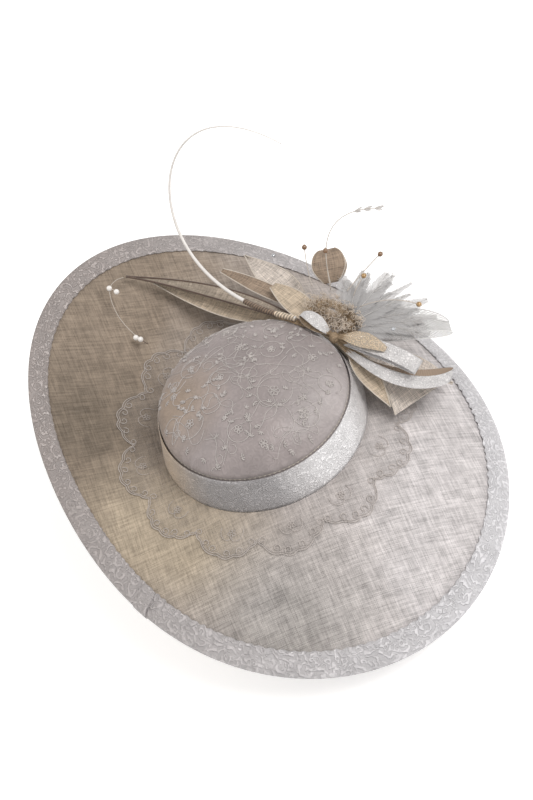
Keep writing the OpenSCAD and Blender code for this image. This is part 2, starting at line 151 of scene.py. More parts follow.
# ---- Settings ----
def shade(name, description, default):
    """A colour setting."""
    return FloatVectorProperty(
        name=name, description=description, subtype="COLOR", size=3, min=0, max=1, default=default
    )


def length(name, description, default):
    """A length setting in metres."""
    return FloatProperty(
        name=name, description=description, default=default, min=0.0001, unit="LENGTH", precision=4
    )


class BrimSettings(bpy.types.PropertyGroup):
    """Sinamay and binding of the brim."""

    pitch: length("Thread pitch", "Distance between the threads of the sinamay", 0.0013)
    # The light and dark colours are the sinamay in painted light on one side of the brim and in painted
    # shade on the other; the warm patch beside the crown is part of that painted light and shade.
    light: shade("Light thread", "Colour of the sinamay on the light side", (0.55, 0.52, 0.52))
    dark: shade("Dark thread", "Colour of the sinamay on the dark side", (0.27, 0.215, 0.165))
    glow: shade("Warm patch", "Colour of the warm patch beside the crown", (0.44, 0.36, 0.25))
    # The binding colour is the jacquard in painted shade on the dark side, and the bright binding colour
    # is it in painted light on the light side.
    binding: shade("Binding", "Colour of the jacquard on the dark side", (0.34, 0.30, 0.285))
    lit_binding: shade("Bright binding", "Colour of the jacquard on the light side", (0.63, 0.62, 0.64))
    motif: length("Motif size", "Width of a scroll of the jacquard", 0.013)


class CrownSettings(bpy.types.PropertyGroup):
    """Cover, lace and lining of the crown."""

    satin: shade("Satin", "Colour of the satin over the dome", (0.285, 0.247, 0.242))
    thread: shade("Embroidery", "Colour of the corded embroidery", (0.49, 0.45, 0.43))
    cord: length("Cord thickness", "Radius of the embroidery cord", 0.00036)
    net: shade("Collar net", "Colour of the sheer net of the collar", (0.50, 0.45, 0.42))
    lining: shade("Lining", "Colour of the lining", (0.70, 0.66, 0.60))
    seed: IntProperty(name="Scroll layout", description="Seed of the scrolls' layout", default=7)


class TrimSettings(bpy.types.PropertyGroup):
    """Leaves, loops, feathers and stems of the trim."""

    leaf: shade("Leaf", "Colour of the sinamay leaves", (0.56, 0.46, 0.35))
    edge: shade("Dark edge", "Colour of the dark edge of the long leaf", (0.10, 0.06, 0.04))
    feather: shade("Feather", "Colour of the feathers", (0.44, 0.43, 0.43))
    gold: shade("Gold", "Colour of the gold thread", (0.56, 0.43, 0.29))
    feathers: IntProperty(name="Feathers", description="Number of feathers in the pad", default=26, min=3)
    quill: shade("Quill", "Colour of the stripped quill", (0.74, 0.71, 0.68))


class HeadbandSettings(bpy.types.PropertyGroup):
    """Ribbon of the headband."""

    ribbon: shade("Ribbon", "Colour of the petersham ribbon", (0.72, 0.68, 0.62))
    rib: length("Rib pitch", "Distance between the ribs of the ribbon", 0.0011)


class StageSettings(bpy.types.PropertyGroup):
    """Floor, lights and camera."""

    floor: shade("Floor", "Colour of the floor", (0.90, 0.90, 0.90))
    key: FloatProperty(name="Key light", description="Power of the key light", default=22.0, min=0)
    fill: FloatProperty(name="Fill light", description="Power of the fill light", default=9.0, min=0)


# ---- Shapes ----
def turned(t, r, z):
    """A point at an angle in radians, a radius and a height."""
    return Vector((r * math.cos(t), r * math.sin(t), z))


def toward(t):
    """The direction of an angle in the plane."""
    return Vector((math.cos(t), math.sin(t)))


def rim_r(t):
    spread = math.cos(2 * (t - math.radians(BRIM_TURN)))
    return (BRIM_LONG + BRIM_SHORT) / 4 + (BRIM_LONG - BRIM_SHORT) / 4 * spread


def rim_z(t):
    return (
        SWEEP * math.cos(t - math.radians(SWEEP_AT))
        + CURL * math.cos(2 * (t - math.radians(CURL_AT)))
        + WAVE * math.cos(3 * (t - math.radians(WAVE_AT)))
        - DROOP
    )


def on_brim(r, t, h):
    """A point on the brim at radius r and angle t, a height h off its top face, in millimetres."""
    share = max(0.0, (r - FOOT_R) / (rim_r(t) - FOOT_R))
    return turned(t, r, rim_z(t) * share**BRIM_BOW + h)


def binding_plan(t):
    """Plan width of the binding, which lies along the slope of the brim."""
    slope = rim_z(t) * BRIM_BOW / (rim_r(t) - FOOT_R)
    return BINDING_W / math.sqrt(1 + slope * slope)


def wall_r(z, inside):
    return FOOT_R - (FOOT_R - TOP_R) * z / BAND_H - inside


def on_dome(x, y, lift):
    """A point of the dome's cover above x and y, a distance lift off its face, in millimetres."""
    a, h = TOP_R - COVER_IN, DOME_H - COVER_IN
    share = min(0.999, math.hypot(x, y) / a)
    rise = math.sqrt(1 - share * share)
    out = Vector((x / (a * a), y / (a * a), rise / h)).normalized()
    return Vector((x, y, BAND_H + h * rise)) + out * lift


def along(path, u):
    """A point on the curve that runs from the first point of path to the last and bends at the others."""
    points = [Vector(p) for p in path]
    while len(points) > 1:
        points = [a.lerp(b, u) for a, b in zip(points, points[1:])]
    return points[0]


def heading(path, u):
    return (along(path, min(1.0, u + 0.01)) - along(path, max(0.0, u - 0.01))).normalized()


def across(path, u):
    """The direction across a leaf and the one off its face."""
    ahead = heading(path, u)
    side = ahead.cross(UP).normalized()
    return side, side.cross(ahead)


def path_length(path, steps=40):
    points = [along(path, k / steps) for k in range(steps + 1)]
    return sum((b - a).length for a, b in zip(points, points[1:]))


def pointed(u):
    return max(0.06, math.sin(math.pi * u**0.85) * 0.92 + 0.08 * (1 - u))


def rounded(u):
    return max(0.22, math.sin(math.radians(18 + 144 * u**0.9)))


def squared(u):
    return 0.16 + 0.84 * u**0.9


def ripple(*at):
    """Smooth noise from -1 to 1 at a point given by up to three numbers."""
    return noise.noise(Vector((tuple(at) + (0.0, 0.0))[:3]))


def soft_step(low, high, value):
    share = max(0.0, min(1.0, (value - low) / (high - low)))
    return share * share * (3 - 2 * share)


class Work:
    """Sheets, tubes and beads of one piece, each shaped from a grid or a ball, in one mesh."""

    def __init__(self):
        self.mesh = bmesh.new()
        self.cut = self.mesh.loops.layers.uv.new("cut")

    def patch(self, cols, rows, place, size=(0.1, 0.1), finish=0, closed=False, up=None):
        """A grid of cols by rows faces. place gives each point in millimetres from its two shares, and
        size is the flat size in metres."""
        made = bmesh.ops.create_grid(self.mesh, x_segments=cols, y_segments=rows, size=0.5)["verts"]
        faces = {face for vert in made for face in vert.link_faces}
        for face in faces:
            face.smooth = True
            face.material_index = finish
            for corner in face.loops:
                at = corner.vert.co
                corner[self.cut].uv = ((at.x + 0.5) * size[0], (at.y + 0.5) * size[1])
        for vert in made:
            vert.co = place(vert.co.x + 0.5, vert.co.y + 0.5) * MM
        if closed:
            bmesh.ops.remove_doubles(self.mesh, verts=made, dist=1e-6)
        faces = [face for face in faces if face.is_valid]
        bmesh.ops.recalc_face_normals(self.mesh, faces=faces)
        if up is not None:
            leaning = sum((face.normal.dot(up) * face.calc_area() for face in faces), 0.0)
            if leaning < 0:
                bmesh.ops.reverse_faces(self.mesh, faces=faces)
        return faces

    def tube(self, points, radius, sides=6, finish=0, taper=None, loop=False):
        """A round cord through points in millimetres, closed at its ends. taper gives the radius as a
        share."""
        ends = [points[0]] + list(points) + [points[-1]] if not loop else list(points) + [points[0]]
        count = len(ends)
        frames, side = [], None
        for k in range(count):
            before = ends[(k - 1) % count if not loop else (k - 1) % (count - 1)]
            after = ends[(k + 1) % count if not loop else (k + 1) % (count - 1)]
            if not loop:
                before, after = ends[max(0, k - 2)], ends[min(count - 1, k + 2)]
            ahead = (after - before).normalized()
            if side is None:
                side = ahead.orthogonal().normalized()
            side = (side - ahead * side.dot(ahead)).normalized()
            frames.append((side, ahead.cross(side)))
        if loop:
            frames[-1] = frames[0]
        run = sum((b - a).length for a, b in zip(ends, ends[1:])) * MM

        def place(u, v):
            k = round(u * (count - 1))
            share = 0.0 if not loop and k in (0, count - 1) else 1.0
            if taper is not None:
                share *= taper(u)
            turn = 2 * math.pi * v
            a, b = frames[k]
            return ends[k] + (a * math.cos(turn) + b * math.sin(turn)) * radius * share

        self.patch(count - 1, sides, place, (run, 2 * math.pi * radius * MM), finish, closed=True)

    def ball(self, at, radius, finish=0, segments=20, stretch=(1, 1, 1)):
        """A bead at a point in millimetres."""
        matrix = Matrix.Translation(Vector(at) * MM) @ Matrix.Diagonal(Vector(stretch)).to_4x4()
        made = bmesh.ops.create_uvsphere(
            self.mesh, u_segments=segments, v_segments=segments // 2 + 2, radius=radius * MM,
            matrix=matrix,
        )["verts"]
        for face in {face for vert in made for face in vert.link_faces}:
            face.smooth = True
            face.material_index = finish

    def piece(self, name, body, finishes, slot, replaces=(), wall=0.0, offset=-1.0, inside=0):
        """The finished object, riding on its body. finishes are their names, and wall is the cloth's
        thickness in millimetres."""
        mesh = bpy.data.meshes.new(name)
        self.mesh.to_mesh(mesh)
        self.mesh.free()
        for finish in finishes:
            mesh.materials.append(finish_of(finish))
        made = bpy.data.objects.new(name, mesh)
        bpy.context.scene.collection.objects.link(made)
        if wall:
            solid = made.modifiers.new("Cloth thickness", "SOLIDIFY")
            solid.thickness = wall * MM
            solid.offset = offset
            solid.material_offset = inside
        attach(made, body)
        if replaces:
            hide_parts(*replaces)
        return made


# ---- Finishes ----
class Finish:
    """A material made node by node: a node's inputs are given values, or other nodes' outputs to link."""

    def __init__(self, name):
        self.material = bpy.data.materials.new(name)
        self.material.use_nodes = True
        self.tree = self.material.node_tree
        self.shader = self.tree.nodes["Principled BSDF"]

    def add(self, kind, settings=None, **inputs):
        node = self.tree.nodes.new(kind)
        for key, value in (settings or {}).items():
            setattr(node, key, value)
        for key, value in inputs.items():
            self.feed(node.inputs[key.replace("_", " ")], value)
        return node

    def feed(self, socket, value):
        if isinstance(value, bpy.types.NodeSocket):
            self.tree.links.new(value, socket)
        elif socket.type == "RGBA" and len(value) == 3:
            socket.default_value = (*value, 1)
        else:
            socket.default_value = value

    def place(self):
        """Object coordinates, in metres."""
        return self.add("ShaderNodeTexCoord").outputs["Object"]

    def cut(self):
        """The cloth's own flat coordinates, in metres."""
        return self.add("ShaderNodeUVMap", {"uv_map": "cut"}).outputs["UV"]

    def stretch(self, vector, scale, turn=0.0):
        turned_by = (0, 0, math.radians(turn))
        mapping = self.add("ShaderNodeMapping", Vector=vector, Scale=scale, Rotation=turned_by)
        return mapping.outputs["Vector"]

    def parts(self, vector):
        """The x, y and z of a vector."""
        return self.add("ShaderNodeSeparateXYZ", Vector=vector).outputs

    def sum(self, operation, *values):
        node = self.add("ShaderNodeMath", {"operation": operation})
        for socket, value in zip(node.inputs, values):
            self.feed(socket, value)
        return node.outputs[0]

    def noise(self, vector, scale, detail=2.0, roughness=0.5):
        node = self.add(
            "ShaderNodeTexNoise", Vector=vector, Scale=scale, Detail=detail, Roughness=roughness
        )
        return node.outputs["Fac"]

    def between(self, value, low, high, to_low=0.0, to_high=1.0):
        """value from low to high brought to the range to_low to to_high and held there."""
        node = self.add(
            "ShaderNodeMapRange",
            Value=value, From_Min=low, From_Max=high, To_Min=to_low, To_Max=to_high,
        )
        return node.outputs["Result"]

    def mix(self, share, one, other, way="MIX"):
        node = self.add("ShaderNodeMix", {"data_type": "RGBA", "blend_type": way})
        self.feed(node.inputs[0], share)
        self.feed(node.inputs[6], one)
        self.feed(node.inputs[7], other)
        return node.outputs[2]

    def bump(self, height, distance, strength=1.0, over=None):
        node = self.add("ShaderNodeBump", Height=height, Distance=distance, Strength=strength)
        if over is not None:
            self.feed(node.inputs["Normal"], over)
        return node.outputs["Normal"]

    def shaded(self, **inputs):
        """The material, with its shader's inputs set."""
        for key, value in inputs.items():
            self.feed(self.shader.inputs[key.replace("_", " ")], value)
        return self.material

    def tone(self, value, low, high, to_low, to_high, colour):
        """colour made darker or lighter by a value."""
        grey = self.between(value, low, high, to_low, to_high)
        greys = self.add("ShaderNodeCombineXYZ", X=grey, Y=grey, Z=grey).outputs[0]
        return self.mix(1.0, colour, greys, "MULTIPLY")

    def with_light_and_shade_patches(self, where, colour, patches):
        """colour with soft patches of painted light and shade: middle, inner and outer radius in metres,
        tint and strength.
        """
        for middle, inner, outer, tint, strength in patches:
            off = self.add("ShaderNodeVectorMath", {"operation": "DISTANCE"})
            self.feed(off.inputs[0], where)
            self.feed(off.inputs[1], middle)
            share = self.between(off.outputs["Value"], inner, outer, strength, 0.0)
            colour = self.mix(share, colour, tint)
        return colour

    def weave(self, vector, pitch, run=0.026):
        """Brightness from 0 to 1 and height of an open plain weave with uneven threads."""
        warp = self.noise(self.stretch(vector, (1 / run, 0.8 / pitch, 1)), 1.0, 2.0, 0.8)
        weft = self.noise(self.stretch(vector, (0.8 / pitch, 1 / run, 1)), 1.0, 2.0, 0.8)
        slub = self.sum("MULTIPLY_ADD", self.sum("ADD", warp, weft), 2.6, -2.1)
        parts = self.parts(vector)
        rows = [
            self.sum("SINE", self.sum("MULTIPLY", parts[axis], 2 * math.pi / pitch)) for axis in (0, 1)
        ]
        threads = self.sum("MAXIMUM", rows[0], rows[1])
        return slub, threads

    def spirals(self, vector, size, turns=2.4):
        """Bands from 0 to 1 that curl round the middle of each cell of a pattern."""
        cells = self.add(
            "ShaderNodeTexVoronoi", {"voronoi_dimensions": "2D"},
            Vector=vector, Scale=1 / size, Randomness=0.9,
        )
        off = self.add("ShaderNodeVectorMath", {"operation": "SUBTRACT"})
        self.feed(off.inputs[0], vector)
        self.feed(off.inputs[1], cells.outputs["Position"])
        parts = self.parts(off.outputs[0])
        angle = self.sum("ARCTAN2", parts[1], parts[0])
        bent = self.sum("ADD", angle, self.sum("MULTIPLY", self.noise(vector, 3.0 / size, 2.0), 9.0))
        wound = self.sum("MULTIPLY_ADD", cells.outputs["Distance"], 2 * math.pi * turns, bent)
        return self.between(self.sum("SINE", wound), -0.35, 0.75)

    def vermicelli(self, vector, size):
        """Bands from 0 to 1 that wander like fine worm-shaped scrolls."""
        lines = self.sum("SINE", self.sum("MULTIPLY", self.noise(vector, 1 / size, 1.5), 34.0))
        return self.between(lines, -0.3, 0.7)


def dimmed(colour, share):
    return [channel * share for channel in colour]


def paled(colour, share):
    return [min(1, channel * share) for channel in colour]


# Soft patches of painted light and shade: middle, inner and outer radius in metres, colour and strength
# On the brim: painted shade on the left and at the front, and warm painted light at the front left.
BRIM_LIGHT_AND_SHADE_PATCHES = (
    ((-0.141, 0.055, 0.024), 0.02, 0.085, (0.15, 0.12, 0.09), 0.75),
    ((-0.125, -0.050, 0.0), 0.02, 0.080, (0.41, 0.34, 0.255), 0.85),
    ((-0.045, -0.175, -0.03), 0.02, 0.095, (0.325, 0.305, 0.29), 0.80),
)
# On the crown's band: painted light in a pale patch on the front right, painted shade in a grey one at
# the front, and a warm painted patch on the left.
BAND_LIGHT_AND_SHADE_PATCHES = (
    ((-0.083, -0.018, 0.02), 0.02, 0.060, (0.70, 0.56, 0.42), 0.90),
    ((-0.037, -0.080, 0.018), 0.03, 0.078, (0.39, 0.375, 0.38), 0.95),
    ((0.047, -0.070, 0.018), 0.02, 0.065, (0.86, 0.85, 0.86), 0.95),
)
# On the dome: warm painted shade on the left and painted light on the front right.
DOME_LIGHT_AND_SHADE_PATCHES = (
    ((-0.060, 0.009, 0.05), 0.012, 0.055, (0.31, 0.235, 0.175), 0.85),
    ((0.064, -0.045, 0.055), 0.010, 0.060, (0.37, 0.335, 0.33), 0.85),
)


def sinamay_finish(name, light, dark, pitch):
    """Sinamay of the brim, with painted light and shade: darker towards the wearer's right, lighter on
    the other side, warm beside the crown, and with soft patches.
    """
    finish = Finish(name)
    look = bpy.context.scene.headpiece_brim
    where = finish.place()
    slub, threads = finish.weave(where, pitch)
    parts = finish.parts(where)
    cloud = finish.noise(where, 22.0, 3.0)
    # Painted shade and light: the sinamay runs from its dark colour on one side of the brim to its light
    # colour on the other.
    side = finish.sum("MULTIPLY_ADD", parts[1], -0.55, parts[0])
    side = finish.sum("MULTIPLY_ADD", cloud, 0.10, finish.sum("SUBTRACT", side, 0.05))
    ground = finish.mix(finish.between(side, -0.13, 0.16), dark, light)
    # Painted light and shade: a warm patch beside the crown, and the brim's soft patches.
    warm = ((-0.085, -0.075, -0.02), 0.03, 0.08, look.glow, 0.6)
    ground = finish.with_light_and_shade_patches(where, ground, (warm, *BRIM_LIGHT_AND_SHADE_PATCHES))
    blotch = finish.noise(where, 75.0, 4.0, 0.65)
    ground = finish.tone(blotch, 0.33, 0.67, 1.16, 0.84, ground)
    colour = finish.tone(slub, -0.2, 1.2, 0.74, 1.26, ground)
    # Painted shade in the gaps between the threads, where the open weave would show shade below.
    gaps = finish.sum("MULTIPLY", threads, finish.between(slub, 0.0, 0.6, 1.0, 0.3))
    colour = finish.tone(gaps, -0.9, 0.1, 0.70, 1.03, colour)
    relief = finish.bump(threads, 0.00022, 0.5)
    relief = finish.bump(slub, 0.0005, 0.5, relief)
    rough = finish.between(slub, 0.0, 1.0, 0.72, 0.5)
    return finish.shaded(Base_Color=colour, Roughness=rough, Normal=relief, Specular_IOR_Level=0.3)


def leaf_finish(name, colour, pitch=0.0013, cover=0.86, warmth=None):
    """Thin sinamay of a leaf or loop, see-through between its threads."""
    finish = Finish(name)
    where = finish.cut()
    slub, threads = finish.weave(where, pitch, 0.018)
    cloud = finish.noise(where, 45.0, 2.0)
    dark = dimmed(colour, 0.62)
    pale = paled(colour, 1.28)
    tinted = finish.mix(finish.between(slub, -0.2, 1.2), dark, pale)
    tinted = finish.mix(finish.between(cloud, 0.4, 0.75, 0, 0.4), tinted, warmth or dark)
    alpha = finish.between(finish.sum("ADD", threads, slub), -0.9, 0.5, cover - 0.45, 1.0)
    relief = finish.bump(slub, 0.0005, 0.5, finish.bump(threads, 0.0002, 0.5))
    return finish.shaded(
        Base_Color=tinted, Alpha=alpha, Roughness=0.62, Normal=relief, Specular_IOR_Level=0.4
    )


def jacquard_finish(name, dark, light, size, patches=(), scrolls=True):
    """Ribbon of embossed jacquard: curling scrolls, or fine worm-shaped ones, tone on tone. Its colour
    carries painted light and shade across the hat, and the scrolls' tone is partly a painted glint.
    """
    finish = Finish(name)
    where, flat = finish.place(), finish.cut()
    worms = finish.vermicelli(flat, 0.55 * size)
    bands = worms
    if scrolls:
        fields = finish.between(finish.noise(flat, 0.9 / size, 1.0), 0.42, 0.54)
        more = finish.sum("SUBTRACT", finish.spirals(flat, size), worms)
        bands = finish.sum("MULTIPLY_ADD", more, fields, worms)
    parts = finish.parts(where)
    # Painted shade and light: darker on one side of the hat and lighter on the other, with patches of
    # painted light and shade.
    side = finish.sum("MULTIPLY_ADD", parts[1], -0.55, parts[0])
    ground = finish.with_light_and_shade_patches(where, finish.mix(finish.between(side, -0.20, 0.22), dark, light), patches)
    cloud = finish.noise(where, 70.0, 3.0, 0.6)
    ground = finish.tone(cloud, 0.33, 0.67, 0.90, 1.08, ground)
    # The scrolls' tone is the woven motif, made strong enough to also stand for painted glints on the
    # raised scrolls.
    colour = finish.tone(bands, 0.0, 1.0, 0.82, 1.10, ground)
    fine = finish.noise(finish.stretch(flat, (700, 2600, 1)), 1.0, 1.0)
    relief = finish.bump(bands, 0.0010, 0.9)
    relief = finish.bump(fine, 0.00015, 0.35, relief)
    rough = finish.between(bands, 0, 1, 0.50, 0.26)
    return finish.shaded(
        Base_Color=colour, Roughness=rough, Normal=relief, Sheen_Weight=0.2, Sheen_Roughness=0.4
    )


def satin_finish(name, colour, patches=()):
    """Satin with a soft lustre and faint creases, with painted light and shade along the creases and in
    any patches given.
    """
    finish = Finish(name)
    where = finish.place()
    folds = finish.noise(where, 26.0, 4.0, 0.55)
    weave = finish.noise(finish.stretch(where, (900, 5200, 900), 27), 1.0, 1.0)
    # Painted light and shade: the patches given, then lighter and darker tone along the creases.
    ground = finish.with_light_and_shade_patches(where, colour, patches)
    tinted = finish.tone(folds, 0.34, 0.68, 0.86, 1.15, ground)
    tinted = finish.tone(weave, 0.3, 0.7, 0.95, 1.06, tinted)
    lace = finish.vermicelli(finish.stretch(where, (1, 1, 0.6)), 0.0075)
    tinted = finish.tone(lace, 0.0, 1.0, 0.965, 1.05, tinted)
    relief = finish.bump(weave, 0.0001, 0.3, finish.bump(folds, 0.0022, 0.35))
    relief = finish.bump(lace, 0.0004, 0.4, relief)
    rough = finish.between(folds, 0.3, 0.7, 0.5, 0.38)
    return finish.shaded(
        Base_Color=tinted, Roughness=rough, Normal=relief, Sheen_Weight=0.3, Sheen_Roughness=0.35
    )


def thread_finish(name, colour, lustre=0.35):
    """Twisted embroidery cord."""
    finish = Finish(name)
    where = finish.cut()
    parts = finish.parts(where)
    lead = finish.sum("ADD", parts[0], finish.sum("MULTIPLY", parts[1], 0.8))
    twist = finish.sum("SINE", finish.sum("MULTIPLY", lead, 5200))
    worn = finish.noise(finish.place(), 160.0, 2.0)
    # Painted shade in the grooves of the twist.
    tinted = finish.mix(finish.between(twist, -1, 1), dimmed(colour, 0.72), colour)
    tinted = finish.mix(finish.between(worn, 0.4, 0.7, 0, 0.35), tinted, paled(colour, 1.25))
    return finish.shaded(
        Base_Color=tinted, Roughness=lustre, Normal=finish.bump(twist, 0.0001, 0.5), Sheen_Weight=0.3
    )


def net_finish(name, colour, hole, cover, thread_cover=0.95):
    """Fine net: threads round small cells, see-through inside them."""
    finish = Finish(name)
    where = finish.cut()
    cells = finish.add(
        "ShaderNodeTexVoronoi",
        {"voronoi_dimensions": "2D", "feature": "DISTANCE_TO_EDGE"},
        Vector=where, Scale=1 / hole, Randomness=0.35,
    )
    thread = finish.between(cells.outputs["Distance"], 0.06, 0.16, 1.0, 0.0)
    cloud = finish.noise(where, 90.0, 2.0)
    tinted = finish.mix(finish.between(cloud, 0.35, 0.7), dimmed(colour, 0.7), paled(colour, 1.2))
    alpha = finish.sum("MAXIMUM", finish.sum("MULTIPLY", thread, thread_cover), cover)
    relief = finish.bump(thread, 0.0002, 0.6)
    return finish.shaded(Base_Color=tinted, Alpha=alpha, Roughness=0.55, Normal=relief)


def feather_finish(name, colour):
    """Vane of a feather: fine slanting barbs, split and frayed at its edge."""
    finish = Finish(name)
    where = finish.cut()
    parts = finish.parts(where)
    off = finish.sum("ABSOLUTE", finish.sum("SUBTRACT", parts[1], 0.5))
    slant = finish.sum("MULTIPLY_ADD", off, -0.030, parts[0])
    lines = finish.add("ShaderNodeCombineXYZ", X=slant, Y=0.0, Z=0.0).outputs[0]
    barbs = finish.noise(lines, 1900.0, 1.0)
    clumps = finish.noise(lines, 420.0, 3.0, 0.7)
    worn = finish.noise(where, 30.0, 2.0)
    tinted = finish.mix(finish.between(barbs, 0.25, 0.75), dimmed(colour, 0.74), paled(colour, 1.25))
    tinted = finish.mix(finish.between(worn, 0.4, 0.7, 0, 0.5), tinted, dimmed(colour, 0.86))
    reach = finish.between(clumps, 0.30, 0.70, 0.50, 0.24)
    edge = finish.between(finish.sum("SUBTRACT", reach, off), -0.035, 0.025)
    alpha = finish.sum("MULTIPLY", edge, finish.between(barbs, 0.3, 0.65, 0.35, 0.95))
    relief = finish.bump(barbs, 0.0003, 0.5)
    return finish.shaded(
        Base_Color=tinted, Alpha=alpha, Roughness=0.6, Normal=relief, Sheen_Weight=0.4,
        Sheen_Roughness=0.5,
    )


def crin_finish(name, colour):
    """Crin: a slanting mesh of glossy filament."""
    finish = Finish(name)
    where = finish.stretch(finish.cut(), (1, 1, 1), 45)
    parts = finish.parts(where)
    bent = finish.sum("MULTIPLY", finish.noise(finish.cut(), 120.0, 1.0), 0.0012)
    rows = []
    for axis in (0, 1):
        filament = finish.sum("MULTIPLY", finish.sum("ADD", parts[axis], bent), math.pi / 0.0021)
        rows.append(finish.sum("ABSOLUTE", finish.sum("SINE", filament)))
    line = finish.between(finish.sum("MINIMUM", rows[0], rows[1]), 0.22, 0.42, 1.0, 0.0)
    tinted = finish.mix(finish.noise(finish.cut(), 80.0), dimmed(colour, 0.75), colour)
    alpha = finish.sum("MAXIMUM", line, 0.30)
    relief = finish.bump(line, 0.0002, 0.5)
    return finish.shaded(Base_Color=tinted, Alpha=alpha, Roughness=0.28, Normal=relief)


def ribbed_finish(name, colour, pitch):
    """Petersham: a ribbon with ribs across it."""
    finish = Finish(name)
    where = finish.cut()
    parts = finish.parts(where)
    ribs = finish.sum("SINE", finish.sum("MULTIPLY", parts[0], 2 * math.pi / pitch))
    worn = finish.noise(where, 70.0, 3.0)
    # Painted shade in the hollows between the ribs.
    tinted = finish.mix(finish.between(ribs, -1, 1), dimmed(colour, 0.8), colour)
    tinted = finish.mix(finish.between(worn, 0.35, 0.75, 0, 0.35), tinted, dimmed(colour, 0.86))
    relief = finish.bump(ribs, 0.0003, 0.6)
    return finish.shaded(Base_Color=tinted, Roughness=0.68, Normal=relief, Sheen_Weight=0.15)


def wound_finish(name, colour, pitch):
    """Ribbon wound round a stem, with the shadow between its turns."""
    finish = Finish(name)
    parts = finish.parts(finish.cut())
    lead = finish.sum("MULTIPLY_ADD", parts[1], 0.35, parts[0])
    turns = finish.sum("SINE", finish.sum("MULTIPLY", lead, 2 * math.pi / pitch))
    worn = finish.noise(finish.place(), 300.0, 2.0)
    tinted = finish.tone(turns, -1, 1, 0.45, 1.5, colour)
    tinted = finish.tone(worn, 0.35, 0.7, 0.8, 1.25, tinted)
    relief = finish.bump(turns, 0.0003, 0.6)
    return finish.shaded(Base_Color=tinted, Roughness=0.55, Normal=relief, Sheen_Weight=0.2)


def grained_finish(name, colour, grain, rough=0.8, spread=0.25, height=0.0004, **shader):
    """A plain stuff with an uneven grain, such as felt, buckram, plastic or pearl."""
    finish = Finish(name)
    where = finish.place()
    fine = finish.noise(where, 1 / grain, 4.0, 0.65)
    cloud = finish.noise(where, 0.12 / grain, 2.0)
    low, high = dimmed(colour, 1 - spread), paled(colour, 1 + spread)
    tinted = finish.mix(finish.between(fine, 0.3, 0.7), low, high)
    tinted = finish.mix(finish.between(cloud, 0.35, 0.7, 0, 0.5), tinted, colour)
    relief = finish.bump(fine, height, 0.5)
    roughness = finish.between(fine, 0.3, 0.7, max(0.02, rough - 0.06), rough)
    return finish.shaded(Base_Color=tinted, Roughness=roughness, Normal=relief, **shader)


def glitter_finish(name, colour, gold):
    """Lace shot with gold thread and small sequins."""
    finish = Finish(name)
    where = finish.cut()
    bands = finish.spirals(where, 0.006, 2.4)
    spots = finish.add("ShaderNodeTexVoronoi", {"voronoi_dimensions": "2D"}, Vector=where, Scale=900.0)
    shine = finish.between(spots.outputs["Distance"], 0.18, 0.32, 1.0, 0.0)
    tinted = finish.mix(bands, colour, gold)
    tinted = finish.mix(finish.sum("MULTIPLY", shine, 0.75), tinted, (0.95, 0.86, 0.70))
    metal = finish.sum("MULTIPLY", shine, 0.7)
    rough = finish.between(shine, 0, 1, 0.55, 0.22)
    alpha = finish.sum("MAXIMUM", finish.sum("MAXIMUM", bands, shine), 0.55)
    relief = finish.bump(bands, 0.0005, 0.6)
    return finish.shaded(
        Base_Color=tinted, Metallic=metal, Roughness=rough, Alpha=alpha, Normal=relief
    )


def steel_finish(name):
    """Brushed spring steel."""
    finish = Finish(name)
    where = finish.place()
    brushed = finish.noise(finish.stretch(where, (300, 300, 4000)), 1.0, 2.0)
    tinted = finish.mix(brushed, (0.42, 0.42, 0.44), (0.66, 0.66, 0.68))
    rough = finish.between(brushed, 0.3, 0.7, 0.28, 0.45)
    relief = finish.bump(brushed, 0.0001, 0.3)
    return finish.shaded(Base_Color=tinted, Metallic=1.0, Roughness=rough, Normal=relief)


def stone_finish(name):
    """Cut glass with a faint cloud in it."""
    finish = Finish(name)
    cloud = finish.noise(finish.place(), 900.0, 2.0)
    tinted = finish.mix(cloud, (0.86, 0.90, 0.96), (1.0, 1.0, 1.0))
    return finish.shaded(
        Base_Color=tinted, Roughness=0.03, IOR=1.6, Transmission_Weight=0.75, Coat_Weight=0.6
    )


finishes = {}


